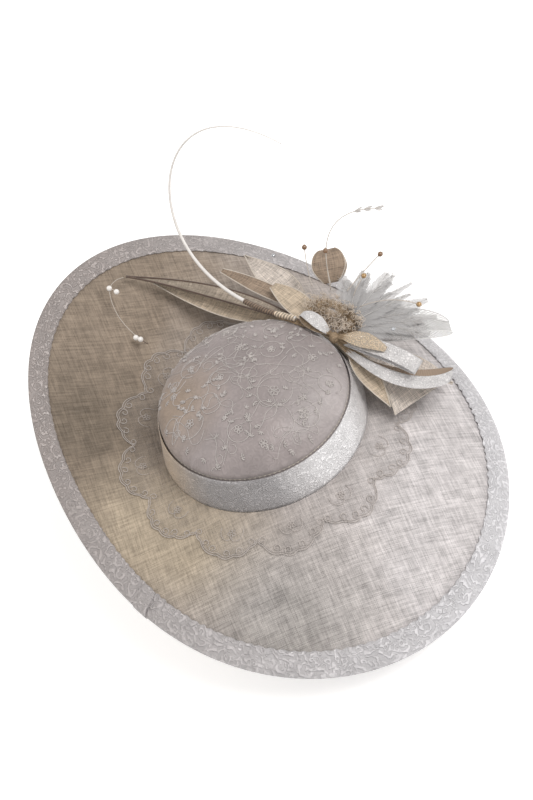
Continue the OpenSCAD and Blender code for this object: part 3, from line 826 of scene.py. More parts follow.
def finish_of(slot):
    """The material of a slot of the record, made once."""
    if slot in finishes:
        return finishes[slot]
    brim, crown = bpy.context.scene.headpiece_brim, bpy.context.scene.headpiece_crown
    trim, band = bpy.context.scene.headpiece_trim, bpy.context.scene.headpiece_band
    leaf, gold = list(trim.leaf), list(trim.gold)
    fine, mid = 0.5 * brim.motif, 0.62 * brim.motif
    bead = {"height": 0.0001, "Coat_Weight": 0.7}
    makers = {
        "sinamay": (sinamay_finish, "Brim sinamay", list(brim.light), list(brim.dark), brim.pitch),
        # The jacquard's two colours are it in painted shade and in painted light; so are the loops' two
        # greys.
        "jacquard": (jacquard_finish, "Jacquard", list(brim.binding), list(brim.lit_binding), brim.motif),
        "band_jacquard": (
            jacquard_finish, "Band jacquard", (0.53, 0.49, 0.48), (0.53, 0.49, 0.48), mid,
            BAND_LIGHT_AND_SHADE_PATCHES, False,
        ),
        "loop_jacquard": (
            jacquard_finish, "Loop jacquard", (0.62, 0.60, 0.59), (0.74, 0.72, 0.72), fine, (), False
        ),
        "loop_inside": (ribbed_finish, "Back of the ribbon", (0.36, 0.27, 0.20), 0.0012),
        "bound_dark": (wound_finish, "Dark wound ribbon", (0.16, 0.11, 0.075), 0.0026),
        "bound_pale": (wound_finish, "Pale wound ribbon", (0.50, 0.41, 0.31), 0.0030),
        "knot": (leaf_finish, "Knot sinamay", (0.33, 0.24, 0.155), {"cover": 0.98}),
        "satin_lace": (satin_finish, "Dome satin", list(crown.satin), DOME_LIGHT_AND_SHADE_PATCHES),
        "embroidery": (thread_finish, "Embroidery cord", list(crown.thread)),
        "corded_lace": (net_finish, "Collar net", list(crown.net), 0.0016, 0.07, 0.22),
        "collar_cord": (thread_finish, "Collar cord", (0.50, 0.45, 0.42), 0.5),
        "buckram": (grained_finish, "Buckram", (0.62, 0.57, 0.49), 0.0011, 0.9),
        "lining": (satin_finish, "Crown lining", list(crown.lining)),
        "petersham": (ribbed_finish, "Petersham", list(band.ribbon), band.rib),
        "spring_steel": (steel_finish, "Spring steel"),
        "band_tip": (grained_finish, "Moulded tip", (0.66, 0.62, 0.56), 0.0009, 0.5, 0.06, 0.0001),
        "felt": (
            grained_finish, "Felt", (0.56, 0.50, 0.42), 0.0016, 0.95, 0.3, 0.0008, {"Sheen_Weight": 0.4}
        ),
        "net": (net_finish, "Rosette net", (0.42, 0.31, 0.20), 0.0022, 0.16, 0.9),
        "net_curl": (thread_finish, "Rosette thread", (0.66, 0.56, 0.46), 0.35),
        "dark_edge_sinamay": (leaf_finish, "Dark-edged sinamay", (0.36, 0.30, 0.24), {"cover": 0.95}),
        "dark_edge": (thread_finish, "Dark edge cord", list(trim.edge), 0.5),
        "leaf_sinamay": (leaf_finish, "Leaf sinamay", leaf),
        "loop_sinamay": (leaf_finish, "Loop sinamay", (0.33, 0.25, 0.185), {"cover": 0.9}),
        "pale_sinamay": (leaf_finish, "Pale sinamay", (0.64, 0.57, 0.51), {"cover": 0.52}),
        "hem": (thread_finish, "Leaf hem", (0.64, 0.57, 0.49), 0.6),
        "feather": (feather_finish, "Feather vane", list(trim.feather)),
        "feather_shaft": (grained_finish, "Feather shaft", (0.62, 0.60, 0.585), 0.002, 0.5, 0.1),
        "crin": (crin_finish, "Crin", (0.50, 0.49, 0.48)),
        "crin_edge": (grained_finish, "Crin filament", (0.74, 0.73, 0.72), 0.001, 0.25, 0.1),
        "glitter_lace": (glitter_finish, "Glitter lace", (0.50, 0.41, 0.32), gold),
        "quill": (grained_finish, "Quill", list(trim.quill), 0.004, 0.42, 0.08, 0.0002),
        "wire": (grained_finish, "Covered wire", (0.50, 0.45, 0.40), 0.0008, 0.6, 0.25),
        "wired_bead": (grained_finish, "Brown bead", (0.20, 0.11, 0.055), 0.0012, 0.2, 0.35, bead),
        "gold_bead": (
            grained_finish, "Gold bead", (0.40, 0.25, 0.11), 0.0012, 0.24, 0.3, {**bead, "Metallic": 0.35}
        ),
        "pearl": (
            grained_finish, "Pearl", (0.84, 0.81, 0.78), 0.0018, 0.16, 0.08, 0.00005,
            {"Coat_Weight": 0.8, "Sheen_Weight": 0.3},
        ),
        "stone": (stone_finish, "Cut stone"),
        "stitch": (thread_finish, "Sewing thread", (0.70, 0.66, 0.60), 0.6),
    }
    maker, *values = makers[slot]
    named = values.pop() if isinstance(values[-1], dict) else {}
    finishes[slot] = maker(*values, **named)
    return finishes[slot]


def finish_node(name, finish):
    """Gives a CAD node that stays in view its finish."""
    slots = frame["nodes"][name].data.materials
    slots.clear()
    slots.append(finish_of(finish))


# ---- Brim ----
def make_brim_layer(name, top, replaced):
    work = Work()

    def place(u, v):
        t = 2 * math.pi * u
        r = HOLE_R + (rim_r(t) - EDGE_IN - HOLE_R) * v
        wave = 0.25 * ripple(r * 0.03 * math.cos(t), r * 0.03 * math.sin(t))
        return on_brim(r, t, top + wave * soft_step(0, 0.2, v))

    work.patch(240, 30, place, (1.3, 0.12), closed=True, up=UP)
    piece = work.piece(name, "hat", ["sinamay"], "sinamay", [replaced], wall=SINAMAY_T)


class HEADPIECE_OT_brim(bpy.types.Operator):
    """Make the two sinamay layers of the brim"""

    bl_idname = "headpiece.make_brim"
    bl_label = "Brim"

    def execute(self, context):
        make_brim_layer("brim_upper_layer", 0.0, "brim_upper")
        make_brim_layer("brim_under_layer", UNDER_TOP, "brim_under")
        return {"FINISHED"}


def folded_edge(t, v, lift, thick, pucker):
    """A point of a strip folded round the brim's edge: v runs from its inner edge below to the one on
    top."""
    shoulder, inner = rim_r(t) - EDGE_IN + 1, rim_r(t) - binding_plan(t)
    half = (lift + thick) - MID_H
    if v < FLAP:
        r, h, free = inner + (shoulder - inner) * v / FLAP, MID_H - half, 1 - v / FLAP
    elif v > 0.6:
        r, h, free = shoulder + (inner - shoulder) * (v - 0.6) / FLAP, MID_H + half, (v - 0.6) / FLAP
    else:
        turn = math.pi * (v - 0.5) / 0.2
        r, h, free = shoulder + 3 * math.cos(turn), MID_H + half * math.sin(turn), 0.0
    top = 1 if v > 0.5 else -1
    edge_run = t * (BRIM_LONG + BRIM_SHORT) / 4
    uneven = 0.6 + 0.8 * ripple(edge_run * 0.09, 9.0)
    tuck = math.sin(edge_run / PUCKER_RUN + 4 * ripple(edge_run * 0.05, 4.0)) * uneven
    front = 0.25 + 0.75 * soft_step(-0.3, 0.6, -math.sin(t - 0.25))
    h += top * pucker * front * (0.45 + 1.15 * tuck) * free ** (1.3 if v > 0.5 else 3)
    r += pucker * 1.3 * free**3 * tuck * front
    h += top * pucker * 0.2 * ripple(edge_run * 0.08, v * 4) * free
    return on_brim(r, t, h)


class HEADPIECE_OT_binding(bpy.types.Operator):
    """Make the jacquard strip folded round the brim's edge and its overlapping end"""

    bl_idname = "headpiece.make_binding"
    bl_label = "Binding"

    def execute(self, context):
        work = Work()

        def strip_at(u, v):
            return folded_edge(2 * math.pi * u, v, 0.5, 1.0, 1.0)

        work.patch(900, 26, strip_at, (1.30, 0.047), closed=True)
        strip = work.piece(
            "brim_binding_strip", "hat", ["jacquard"], "jacquard", ["brim_binding"], wall=JACQUARD_T
        )
        work = Work()
        first, last = math.radians(JOIN_FROM), math.radians(JOIN_TO)

        def place(u, v):
            t = first + (last - first) * (u + 0.12 * (v - 0.5) * (1 - u))
            return folded_edge(t, v, 2.0, 1.0, 0.4)

        work.patch(10, 26, place, (0.016, 0.052))
        overlap = work.piece(
            "binding_overlap", "hat", ["jacquard"], "jacquard", ["binding_join"], wall=JACQUARD_T
        )
        return {"FINISHED"}


# ---- Crown ----
class HEADPIECE_OT_crown(bpy.types.Operator):
    """Make the band, the satin cover, the lining and the head ring of the crown"""

    bl_idname = "headpiece.make_crown"
    bl_label = "Crown"

    def execute(self, context):
        work = Work()

        def band(u, v):
            t = 2 * math.pi * u
            z = 0.3 + (BAND_H - 0.3) * v
            bow = 0.35 * math.sin(math.pi * v) * ripple(9 * u, 2 * v)
            lip = 0.5 * ripple(14 * u, 3.0) * v**4
            return turned(t, wall_r(z, 0.0) - 0.3 + bow, z + lip)

        work.patch(220, 12, band, (0.565, 0.034), closed=True)
        piece = work.piece(
            "crown_band_strip", "hat", ["band_jacquard"], "jacquard", ["crown_band"], wall=BAND_T
        )

        work = Work()

        def cover(u, v):
            t = 2 * math.pi * u
            uneven = 0.5 + 1.4 * ripple(11 * u, 7.0)
            gather = 0.55 * (math.sin(GATHER_FOLDS * t + 6 * ripple(9 * u, 1.0)) * uneven)
            if v < 0.2:
                z = BAND_H - TUCK_H * (1 - v / 0.2)
                return turned(t, wall_r(z, COVER_IN) - 1.2 * soft_step(0.1, 0.2, v), z)
            a = 0.5 * math.pi * (v - 0.2) / 0.8
            r, z = (TOP_R - COVER_IN) * math.cos(a), BAND_H + (DOME_H - COVER_IN) * math.sin(a)
            low = math.exp(-(((z - BAND_H) / 3.5) ** 2))
            fold = math.exp(-(((z - BAND_H - 7) / 6) ** 2)) * soft_step(1.0, 5.0, z - BAND_H)
            front = 0.35 + 0.65 * soft_step(-0.1, 0.9, math.cos(t - math.radians(GATHER_AT)))
            return turned(t, r - 1.2 * low + gather * fold * front, z)

        work.patch(300, 44, cover, (0.53, 0.14), closed=True)
        piece = work.piece(
            "crown_dome_cover", "hat", ["satin_lace"], "satin_lace", ["crown_cover"], wall=SATIN_T
        )

        work = Work()

        def lining(u, v):
            t = 2 * math.pi * u
            pleat = 0.35 * math.sin(36 * t) * (1 - v) ** 0.5
            if v < 0.4:
                z = 0.3 + (BAND_H - 0.3) * v / 0.4
                return turned(t, wall_r(z, LINING_IN + 0.3) + pleat, z)
            a = 0.5 * math.pi * (v - 0.4) / 0.6
            inside = LINING_IN + 0.3
            z = BAND_H + (DOME_H - inside) * math.sin(a)
            return turned(t, (TOP_R - inside) * math.cos(a) + pleat, z)

        work.patch(216, 40, lining, (0.5, 0.15), closed=True)
        piece = work.piece(
            "crown_inner_lining", "hat", ["lining"], "lining", ["crown_lining"], wall=LINING_T
        )

        work = Work()
        half = (RING_HIGH - RING_LOW) / 2

        def ring(u, v):
            t = 2 * math.pi * u
            z = RING_LOW + 2 * half * v
            return turned(t, RING_R - 0.05 + 0.12 * ripple(30 * u, 3 * v), z)

        work.patch(240, 8, ring, (0.475, 0.0169), closed=True)
        piece = work.piece(
            "head_ring_ribbon", "hat", ["petersham"], "petersham", ["head_ring"], wall=RING_RIBBON_T
        )
        work = Work()
        for k in range(RING_STITCHES):
            t = 2 * math.pi * (k + 0.1 * ripple(k * 0.7)) / RING_STITCHES
            bent = ((0, 12.2), (0.5, 12.5), (1, 12.2))
            ends = [turned(t + side * 0.011, RING_R - RING_T - 0.15, z) for side, z in bent]
            work.tube(ends, STITCH_R, 4)
        work.piece("head_ring_stitches", "hat", ["stitch"], "petersham")
        finish_node("crown_base", "buckram")
        return {"FINISHED"}


def wander(scatter, start, steps, stride, reach):
    """A curling line of points that stays within reach of the middle of the dome, in millimetres."""
    at, way, bend = Vector(start), scatter.uniform(0, 2 * math.pi), 0.0
    line = [at.copy()]
    for _ in range(steps):
        bend = 0.86 * bend + scatter.gauss(0, 0.16)
        home = math.atan2(-at.y, -at.x)
        turn = (home - way + math.pi) % (2 * math.pi) - math.pi
        way += bend + (0.35 * turn if at.length > reach else 0)
        at = at + toward(way) * stride
        line.append(at.copy())
    return line


# Embroidery: scrolls and sprigs on the dome, and steps in the collar's outline
SCROLLS, SPRIGS, OUTLINE_STEPS = 34, 150, 728
# Flowers of the dome: middle, size of a petal, and radius of the ring of cord round it, in millimetres
DOME_FLOWERS = [
    ((18, -29), 4.6, 13), ((33, -55), 4.0, 10), ((30, 14), 3.6, 9), ((58, -6), 3.8, 0),
    ((-18, 6), 3.4, 8), ((-55, -20), 3.8, 11), ((-38, 34), 3.2, 9), ((6, 30), 3.8, 0),
    ((40, 40), 3.4, 9), ((-20, -48), 3.4, 9), ((62, -34), 3.2, 8), ((2, 62), 3.4, 9),
    ((-60, 16), 3.2, 0), ((-6, -66), 3.2, 0), ((-34, 62), 3.0, 0),
]


def flower_paths(middle, petal, turn, lobes=5):
    """Loops of cord that make the petals of a flower, as points in the plane."""
    loops = []
    for k in range(lobes):
        way = turn + 2 * math.pi * k / lobes
        out = toward(way)
        side = Vector((-out.y, out.x))
        loops.append(
            [
                Vector(middle) + out * petal * (0.25 + 0.75 * (0.5 - 0.5 * math.cos(a)))
                + side * petal * 0.34 * math.sin(a)
                for a in (2 * math.pi * j / 9 for j in range(9))
            ]
        )
    return loops


class HEADPIECE_OT_embroidery(bpy.types.Operator):
    """Make the corded scrolls and flowers on the dome"""

    bl_idname = "headpiece.make_embroidery"
    bl_label = "Dome embroidery"

    def execute(self, context):
        look = context.scene.headpiece_crown
        scatter = random.Random(look.seed)
        cord = look.cord / MM
        work = Work()

        def lay(line, radius=cord, loop=False):
            work.tube([on_dome(p.x, p.y, radius * 0.7) for p in line], radius, 5, loop=loop)

        for middle, petal, ring in DOME_FLOWERS:
            turn = scatter.uniform(0, 2)
            lobes = 6 if petal > 4 else 5
            for line in flower_paths(middle, petal, turn, lobes):
                lay(line, cord * 1.15, True)
            work.ball(on_dome(middle[0], middle[1], 0.4), 0.9, segments=8)
            if ring:
                spin, gap = scatter.uniform(0, 6), scatter.uniform(0.7, 1.3)
                lay(
                    [
                        Vector(middle) + toward(a) * ring * (1 + 0.12 * (a - spin) / 5)
                        for a in (spin + (2 * math.pi - gap) * j / 26 for j in range(27))
                    ]
                )
        for _ in range(SCROLLS):
            way, far = scatter.uniform(0, 2 * math.pi), 76 * math.sqrt(scatter.random())
            start = toward(way) * far
            lay(wander(scatter, start, 46, 1.8, 77), cord * 0.85)
        for _ in range(SPRIGS):
            way, far = scatter.uniform(0, 2 * math.pi), 80 * math.sqrt(scatter.random())
            at = toward(way) * far
            way = scatter.uniform(0, 2 * math.pi)
            for side in (-0.9, -0.3, 0.3, 0.9):
                tip = toward(way + side)
                line = [at + tip * s for s in (0.6, 1.5, 2.4, 3.2)]
                if line[-1].length < 81:
                    lay(line, cord * scatter.uniform(1.0, 1.8))
        work.piece("dome_embroidery", "hat", ["embroidery"], "satin_lace")
        return {"FINISHED"}


def lobed_r(t):
    """Radius of the collar's corded outline: deep scallops, each made of small lobes."""
    scallop = abs(math.sin(SCALLOPS * t / 2 + 0.35 * ripple(2.5 * math.cos(t), 2.5 * math.sin(t)))) ** 0.8
    lobes = abs(math.sin(4.5 * SCALLOPS * t / 2 + 1.2 * ripple(5 * math.cos(t), 5 * math.sin(t), 3.0)))
    return FOOT_R + COLLAR_W + 3.0 - 15.0 * (1 - scallop) + 2.0 * lobes


class HEADPIECE_OT_collar(bpy.types.Operator):
    """Make the sheer collar round the crown with its corded scallops and flowers"""

    bl_idname = "headpiece.make_collar"
    bl_label = "Lace collar"

    def execute(self, context):
        inner = FOOT_R + 0.6
        work = Work()

        def net(u, v):
            t = 2 * math.pi * u
            lie = COLLAR_UP + 0.3 + 0.12 * ripple(40 * u, 3 * v)
            return on_brim(inner + (lobed_r(t) - inner) * v, t, lie)

        work.patch(720, 12, net, (0.69, 0.035), closed=True, up=UP)
        piece = work.piece(
            "lace_collar_net", "hat", ["corded_lace"], "corded_lace", ["lace_collar"]
        )

        work = Work()
        lift = COLLAR_UP + 0.65

        def lay(points, radius, loop=False):
            laid = [on_brim(p.length, math.atan2(p.y, p.x), lift) for p in points]
            work.tube(laid, radius, 5, loop=loop)

        for inset, radius in ((0.0, 0.34), (1.7, 0.26)):
            ring = []
            for t in (2 * math.pi * k / OUTLINE_STEPS for k in range(OUTLINE_STEPS)):
                r = lobed_r(t) - inset
                ring.append(Vector((r * math.cos(t), r * math.sin(t))))
            lay(ring, radius, True)
        commas = 6 * SCALLOPS
        for k in range(commas):
            t = 2 * math.pi * (k + 0.5 + 0.5 * ripple(k * 0.37)) / commas
            middle = toward(t) * (lobed_r(t) - 4.6 + 1.5 * ripple(k * 0.61, 5.0))
            sense = 1 if k % 2 else -1
            spin = t + sense * 0.9
            lay(
                [
                    middle + toward(spin + sense * a) * (3.4 - 0.42 * a)
                    for a in (0.5 * j for j in range(13))
                ],
                0.30,
            )
        scatter = random.Random(11)
        for k in range(SCALLOPS):
            t = 2 * math.pi * (k + 0.5) / SCALLOPS + scatter.uniform(-0.05, 0.05)
            middle = toward(t) * (FOOT_R + 17 + scatter.uniform(-2, 2))
            for line in flower_paths(middle, 3.4, t):
                lay(line, 0.24, True)
            for side in (-1, 1):
                start = middle + toward(t) * 3
                sweep = [
                    start + toward(t + side * 0.32 * a) * 1.7 * a
                    for a in range(8)
                ]
                lay(sweep, 0.24)
        work.piece("lace_collar_cords", "hat", ["collar_cord"], "corded_lace")
        return {"FINISHED"}


# ---- Headband ----
def ribbon_sleeve(name, line, body, replaced, length_mm):
    """A ribbon folded to a flat tube along a line of points in the plane of the headband."""
    work = Work()
    count = len(line)

    def place(u, v):
        k = round(u * (count - 1))
        ahead = (line[min(count - 1, k + 1)] - line[max(0, k - 1)]).normalized()
        face = Vector((ahead.z, 0, -ahead.x))
        a = 2 * math.pi * v
        wide, thick = math.cos(a), math.sin(a)
        wide = math.copysign(abs(wide) ** 0.35, wide) * SLEEVE_W / 2
        thick = math.copysign(abs(thick) ** 0.55, thick) * SLEEVE_T / 2
        return line[k] + Vector((0, wide, 0)) + face * thick

    work.patch(count - 1, 28, place, (length_mm * MM, 0.024), closed=True)
    piece = work.piece(name, body, ["petersham"], "petersham", [replaced], wall=SLEEVE_RIBBON_T)


class HEADPIECE_OT_headband(bpy.types.Operator):
    """Make the ribbon covers of the headband, the sewing tabs and the tips' finish"""

    bl_idname = "headpiece.make_headband"
    bl_label = "Headband"

    def execute(self, context):
        arch = [
            Vector((BAND_HALF * math.cos(a), 0, ARCH_H * math.sin(a)))
            for a in (math.pi * k / 90 for k in range(91))
        ]
        run = sum((b - a).length for a, b in zip(arch, arch[1:]))
        ribbon_sleeve("headband_cover", arch, "hat", "headband_sleeve", run)
        for side, body in ((1, "left_arm"), (-1, "right_arm")):
            line = []
            for k in range(61):
                z = ARM_TOP - (ARM_L - TIP_L) * k / 60
                line.append(Vector((side * (BAND_HALF - ARM_IN * ((ARM_TOP - z) / ARM_L) ** 2), 0, z)))
            ribbon_sleeve(f"{body}_cover", line, body, f"{body}_sleeve", ARM_L - TIP_L)
            finish_node(f"{body}_spring", "spring_steel")
            finish_node(body.replace("arm", "tip"), "band_tip")
        for node in ("edge_wire", "headband_spring"):
            finish_node(node, "spring_steel")
        low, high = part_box("sewing_tabs")
        work, stitches = Work(), Work()
        for side in (1, -1):
            inner, outer = TAB_IN, high.x / MM

            def tab(u, v):
                x = inner + 0.15 + (outer - inner - 0.3) * 0.5
                z = low.z / MM + 0.2 + TAB_H * v + 0.2 * ripple(5 * u, 4 * v)
                return Vector((side * x, (u - 0.5) * TAB_W, z))

            work.patch(16, 12, tab, (0.016, 0.011))
            for k in range(7):
                y = -6.6 + 2.2 * k
                for z in (2.4, 10.6):
                    stitch = [Vector((side * (inner + 0.1), y + s, z)) for s in (0, 0.7, 1.4)]
                    stitches.tube(stitch, 0.28, 4)
        tabs = work.piece(
            "sewing_tab_ribbons", "hat", ["petersham"], "petersham", ["sewing_tabs"],
            wall=TAB_T, offset=0.0,
        )
        stitches.piece("sewing_tab_stitches", "hat", ["stitch"], "petersham")
        return {"FINISHED"}


# ---- Trim ----
def leaf_sheet(
    name, outline, slot, crease=0.06, curl=0.10, flutter=0.8, wall=LEAF_T, hem=None, roll=0.0
):
    """A leaf of sinamay with a creased middle and rolled hems, for its CAD node of the same name."""
    path, half = LEAVES[name]
    work = Work()
    run = path_length(path)

    def at(u, v):
        flat_side, flat_off = across(path, u)
        side = flat_side * math.cos(roll) + flat_off * math.sin(roll)
        off = flat_off * math.cos(roll) - flat_side * math.sin(roll)
        w, s = half * outline(u), 2 * v - 1
        lift = crease * half * (abs(s) - 0.5) + curl * w * s * s * soft_step(0.2, 1.0, u)
        lift += flutter * ripple(u * 3.1 + half, s * 1.3, run * 0.01) * soft_step(0, 0.3, u)
        lift += 0.35 * math.sin(9 * s + 4 * ripple(u * 2, half)) * (1 - u)
        return along(path, u) + side * w * s + off * lift

    work.patch(44, 16, at, (run * MM, 2 * half * MM), up=UP)
    area = sum(2 * half * outline((k + 0.5) / 60) * run / 60 for k in range(60)) * MM * MM
    flat = (2 * half * MM * max(outline(k / 20) for k in range(21)), run * MM)
    leaf = work.piece(f"{name}_cloth", "hat", [slot], slot_of(name), [name], wall=wall, offset=0.0)
    hems = []
    if hem:
        work = Work()
        for s in (0.0, 1.0):
            work.tube([at(k / 40, s) for k in range(41)], 0.5 if hem == "hem" else 0.9, 6)
        hems = [work.piece(f"{name}_hem", "hat", [hem], slot_of(name))]


def slot_of(node):
    """The record's material slot of a CAD node."""
    parts = frame["record"]["subparts"]
    return next(part["material_slot"] for part in parts if part["node"] == node)


def loop_sheet(name, slot, wall=LOOP_T, flutter=0.35, hem=None, inside=None):
    """A ribbon folded back on itself, standing for its CAD node of the same name."""
    path, half, opening, drawn, skew = LOOPS[name]
    run = heading([path[0], path[-1]], 0.5)
    side = run.cross(UP).normalized()
    off = side.cross(run)

    def middle(turn):
        u = (1 - math.cos(turn)) / 2
        return along(path, u) + (off * opening * (0.45 + 0.55 * u) + side * skew * u) * math.sin(turn)

    ring = [middle(2 * math.pi * k / 90) for k in range(91)]
    total = sum((b - a).length for a, b in zip(ring, ring[1:]))
    work = Work()

    def width(turn):
        u = (1 - math.cos(turn)) / 2
        return half * (0.45 + 0.55 * math.sin(0.5 * math.pi * min(1, u * 2))) * (1 - drawn * u**5)

    def at(u, v):
        turn = 0.06 + (2 * math.pi - 0.12) * u
        s = 2 * v - 1
        bend = flutter * ripple(3 * u + half, 1.4 * s) + 0.06 * half * s * s * math.sin(turn)
        return middle(turn) + side * width(turn) * s + off * bend

    faces = work.patch(72, 14, at, (total * MM, 2 * half * MM))
    hollow = along(path, 0.7) * MM
    outward = sum(
        (face.normal.dot(face.calc_center_median() - hollow) * face.calc_area() for face in faces), 0.0
    )
    if outward < 0:
        bmesh.ops.reverse_faces(work.mesh, faces=faces)
    finishes_used = [slot, inside] if inside else [slot]
    loop = work.piece(
        f"{name}_ribbon", "hat", finishes_used, slot_of(name), [name],
        wall=wall, offset=0.0, inside=len(finishes_used) - 1,
    )
    edges = []
    if hem:
        work = Work()
        for s in (0.0, 1.0):
            work.tube([at(k / 60, s) for k in range(61)], 0.42, 6)
        edges = [work.piece(f"{name}_edge", "hat", [hem], slot_of(name))]


class HEADPIECE_OT_leaves(bpy.types.Operator):
    """Make the sinamay leaves of the trim"""

    bl_idname = "headpiece.make_leaves"
    bl_label = "Leaves"

    def execute(self, context):
        leaf_sheet("long_leaf", pointed, "dark_edge_sinamay", hem="dark_edge")
        leaf_sheet("wide_leaf", pointed, "leaf_sinamay", hem="hem")
        leaf_sheet("round_loop", rounded, "loop_sinamay", hem="hem")
        leaf_sheet("back_leaf", pointed, "pale_sinamay", hem="hem", flutter=1.4)
        leaf_sheet("folded_leaf", rounded, "leaf_sinamay", hem="hem", flutter=1.2)
        leaf_sheet("glitter_leaf", rounded, "glitter_lace", flutter=0.5)
        leaf_sheet("fan_leaf_front", pointed, "leaf_sinamay", hem="hem", crease=0.12)
        leaf_sheet(
            "fan_leaf_middle", squared, "pale_sinamay",
            crease=0.02, curl=0.0, flutter=1.0, hem="hem", roll=math.radians(18),
        )
        leaf_sheet("fan_leaf_side", pointed, "pale_sinamay", hem="hem", crease=0.12)
        return {"FINISHED"}


class HEADPIECE_OT_loops(bpy.types.Operator):
    """Make the ribbon and crin loops of the trim"""

    bl_idname = "headpiece.make_loops"
    bl_label = "Loops"

    def execute(self, context):
        loop_sheet("bud_loop", "loop_jacquard", inside="knot")
        loop_sheet("short_loop", "loop_jacquard")
        loop_sheet("long_loop", "loop_jacquard", inside="loop_inside")
        loop_sheet("top_loop", "loop_sinamay", hem="hem")
        loop_sheet("crin_loop", "crin", wall=0.0, hem="crin_edge", flutter=0.8)
        return {"FINISHED"}


def feather(work, root, tip, half, arch, turn, sway):
    """One feather from root to tip in millimetres: its vane, and its shaft on top."""
    ahead = (tip - root).normalized()
    path = [root, (root + tip) / 2 + UP * arch + ahead.cross(UP) * sway, tip]
    run = path_length(path)

    def at(u, v):
        side, off = across(path, u)
        side = (side * math.cos(turn) + off * math.sin(turn)).normalized()
        s = 2 * v - 1
        w = half * (0.10 + 0.90 * math.sin(math.pi * (0.04 + 0.90 * u**0.8)) ** 0.8)
        lift = -0.22 * w * s * s + 0.7 * ripple(4 * u, 3 * s, root.y * 0.1 + tip.y)
        return along(path, u) + side * w * s + off * lift

    work.patch(26, 10, at, (run * MM, 1.0), finish=0, up=UP)
    shaft = [along(path, k / 14 * 0.93) + across(path, k / 14 * 0.93)[1] * 0.3 for k in range(15)]
    work.tube(shaft, 0.32, 5, finish=1, taper=lambda u: 1 - 0.85 * u)
    return path


# Where the outer feathers' tips lie, from the rosette round to the ribbon loops, in millimetres
FEATHER_TIPS = [
    (112, 74, 54), (124, 66, 56), (138, 58, 57), (151, 50, 55), (160, 40, 51), (167, 27, 46),
    (169, 14, 42), (168, 1, 39), (163, -9, 38), (153, -16, 38), (143, -19, 37),
]
FEATHER_ROOT, BARBS = (101, 24, 44), 36

# Pleats at the knot: the piece that each runs into, half its width and its drop, in millimetres
GATHERS = (
    ("bud_loop", 5, 3), ("folded_leaf", 6, 2), ("glitter_leaf", 6, 2), ("short_loop", 6, 0),
    ("long_loop", 6, -3), ("fan_leaf_front", 6, -4), ("fan_leaf_middle", 8, -7), ("quill", 5, -2),
    ("feather_pad", 9, 1),
)


class HEADPIECE_OT_gathers(bpy.types.Operator):
    """Make the pleats that run from the knot into the leaves and loops"""

    bl_idname = "headpiece.make_gathers"
    bl_label = "Gathers at the knot"

    def execute(self, context):
        work, total, longest = Work(), 0.0, 0.0
        for name, width, low in GATHERS:
            target = QUILL if name == "quill" else LEAVES.get(name, LOOPS.get(name))[0]
            end = along(target, 0.03 if name == "quill" else 0.10)
            bend = KNOT_AT.lerp(end, 0.5) + UP * (low * 0.5 + 1.0)
            path = [KNOT_AT + UP * low * 0.3, bend, end - UP * 0.6]

            def pleat(u, v, path=path, width=width):
                side, off = across(path, u)
                s = 2 * v - 1
                w = width * (0.30 + 0.70 * u)
                fold = 0.9 * math.cos(3.5 * math.pi * s + width) * (1 - 0.5 * u)
                return along(path, u) + side * w * s * 0.7 + off * fold

            faces = work.patch(16, 18, pleat, (0.02, width * 1.4 * MM), up=UP)
            total += sum(face.calc_area() for face in faces)
            longest += path_length(path) * MM
        pleats = work.piece("trim_gathers", "hat", ["knot"], "net", wall=WRAP_T, offset=0.0)
        return {"FINISHED"}


class HEADPIECE_OT_feathers(bpy.types.Operator):
    """Make the pad of feathers with its loose barbs"""

    bl_idname = "headpiece.make_feathers"
    bl_label = "Feather pad"

    def execute(self, context):
        count = context.scene.headpiece_trim.feathers
        scatter = random.Random(5)
        work, barbs = Work(), Work()
        root_at = Vector(FEATHER_ROOT)
        for k in range(count):
            share = (k * 0.618 + 0.31) % 1.0 * (len(FEATHER_TIPS) - 1)
            low = min(int(share), len(FEATHER_TIPS) - 2)
            edge = Vector(FEATHER_TIPS[low]).lerp(Vector(FEATHER_TIPS[low + 1]), share - low)
            reach = (1.0, 0.86, 0.70)[k % 3] + scatter.uniform(-0.05, 0.03)
            root = root_at + Vector((0, (0.5 - share / len(FEATHER_TIPS)) * 14, (k / count - 0.5) * 3))
            tip = root.lerp(edge, reach) + UP * (scatter.uniform(-1.0, 1.2) + 4.5 * k / count - 1.5)
            width = 8.5 + scatter.uniform(-1.5, 2.5)
            turn, sway = scatter.uniform(-0.35, 0.35), scatter.uniform(-5, 5)
            line = feather(work, root, tip, width, 5.0, turn, sway)
            for _ in range(BARBS):
                u = scatter.uniform(0.55, 0.99)
                start = along(line, u)
                ahead = heading(line, u)
                flank = ahead.cross(UP).normalized() * scatter.choice((-1, 1))
                way = ahead * scatter.uniform(0.8, 1.3) + flank * scatter.uniform(0.2, 1.0)
                way.normalize()
                size = scatter.uniform(4, 11)
                bend = UP * scatter.uniform(-1.5, 1.8) + flank * scatter.uniform(-2.0, 1.0)
                barb = [start + way * size * s + bend * s * s for s in (0, 0.35, 0.7, 1.0)]
                barbs.tube(barb, 0.10, 3)
        work.piece(
            "feather_pad_vanes", "hat", ["feather", "feather_shaft"], "feather", ["feather_pad"]
        )
        barbs.piece("feather_pad_barbs", "hat", ["feather_shaft"], "feather")
        return {"FINISHED"}


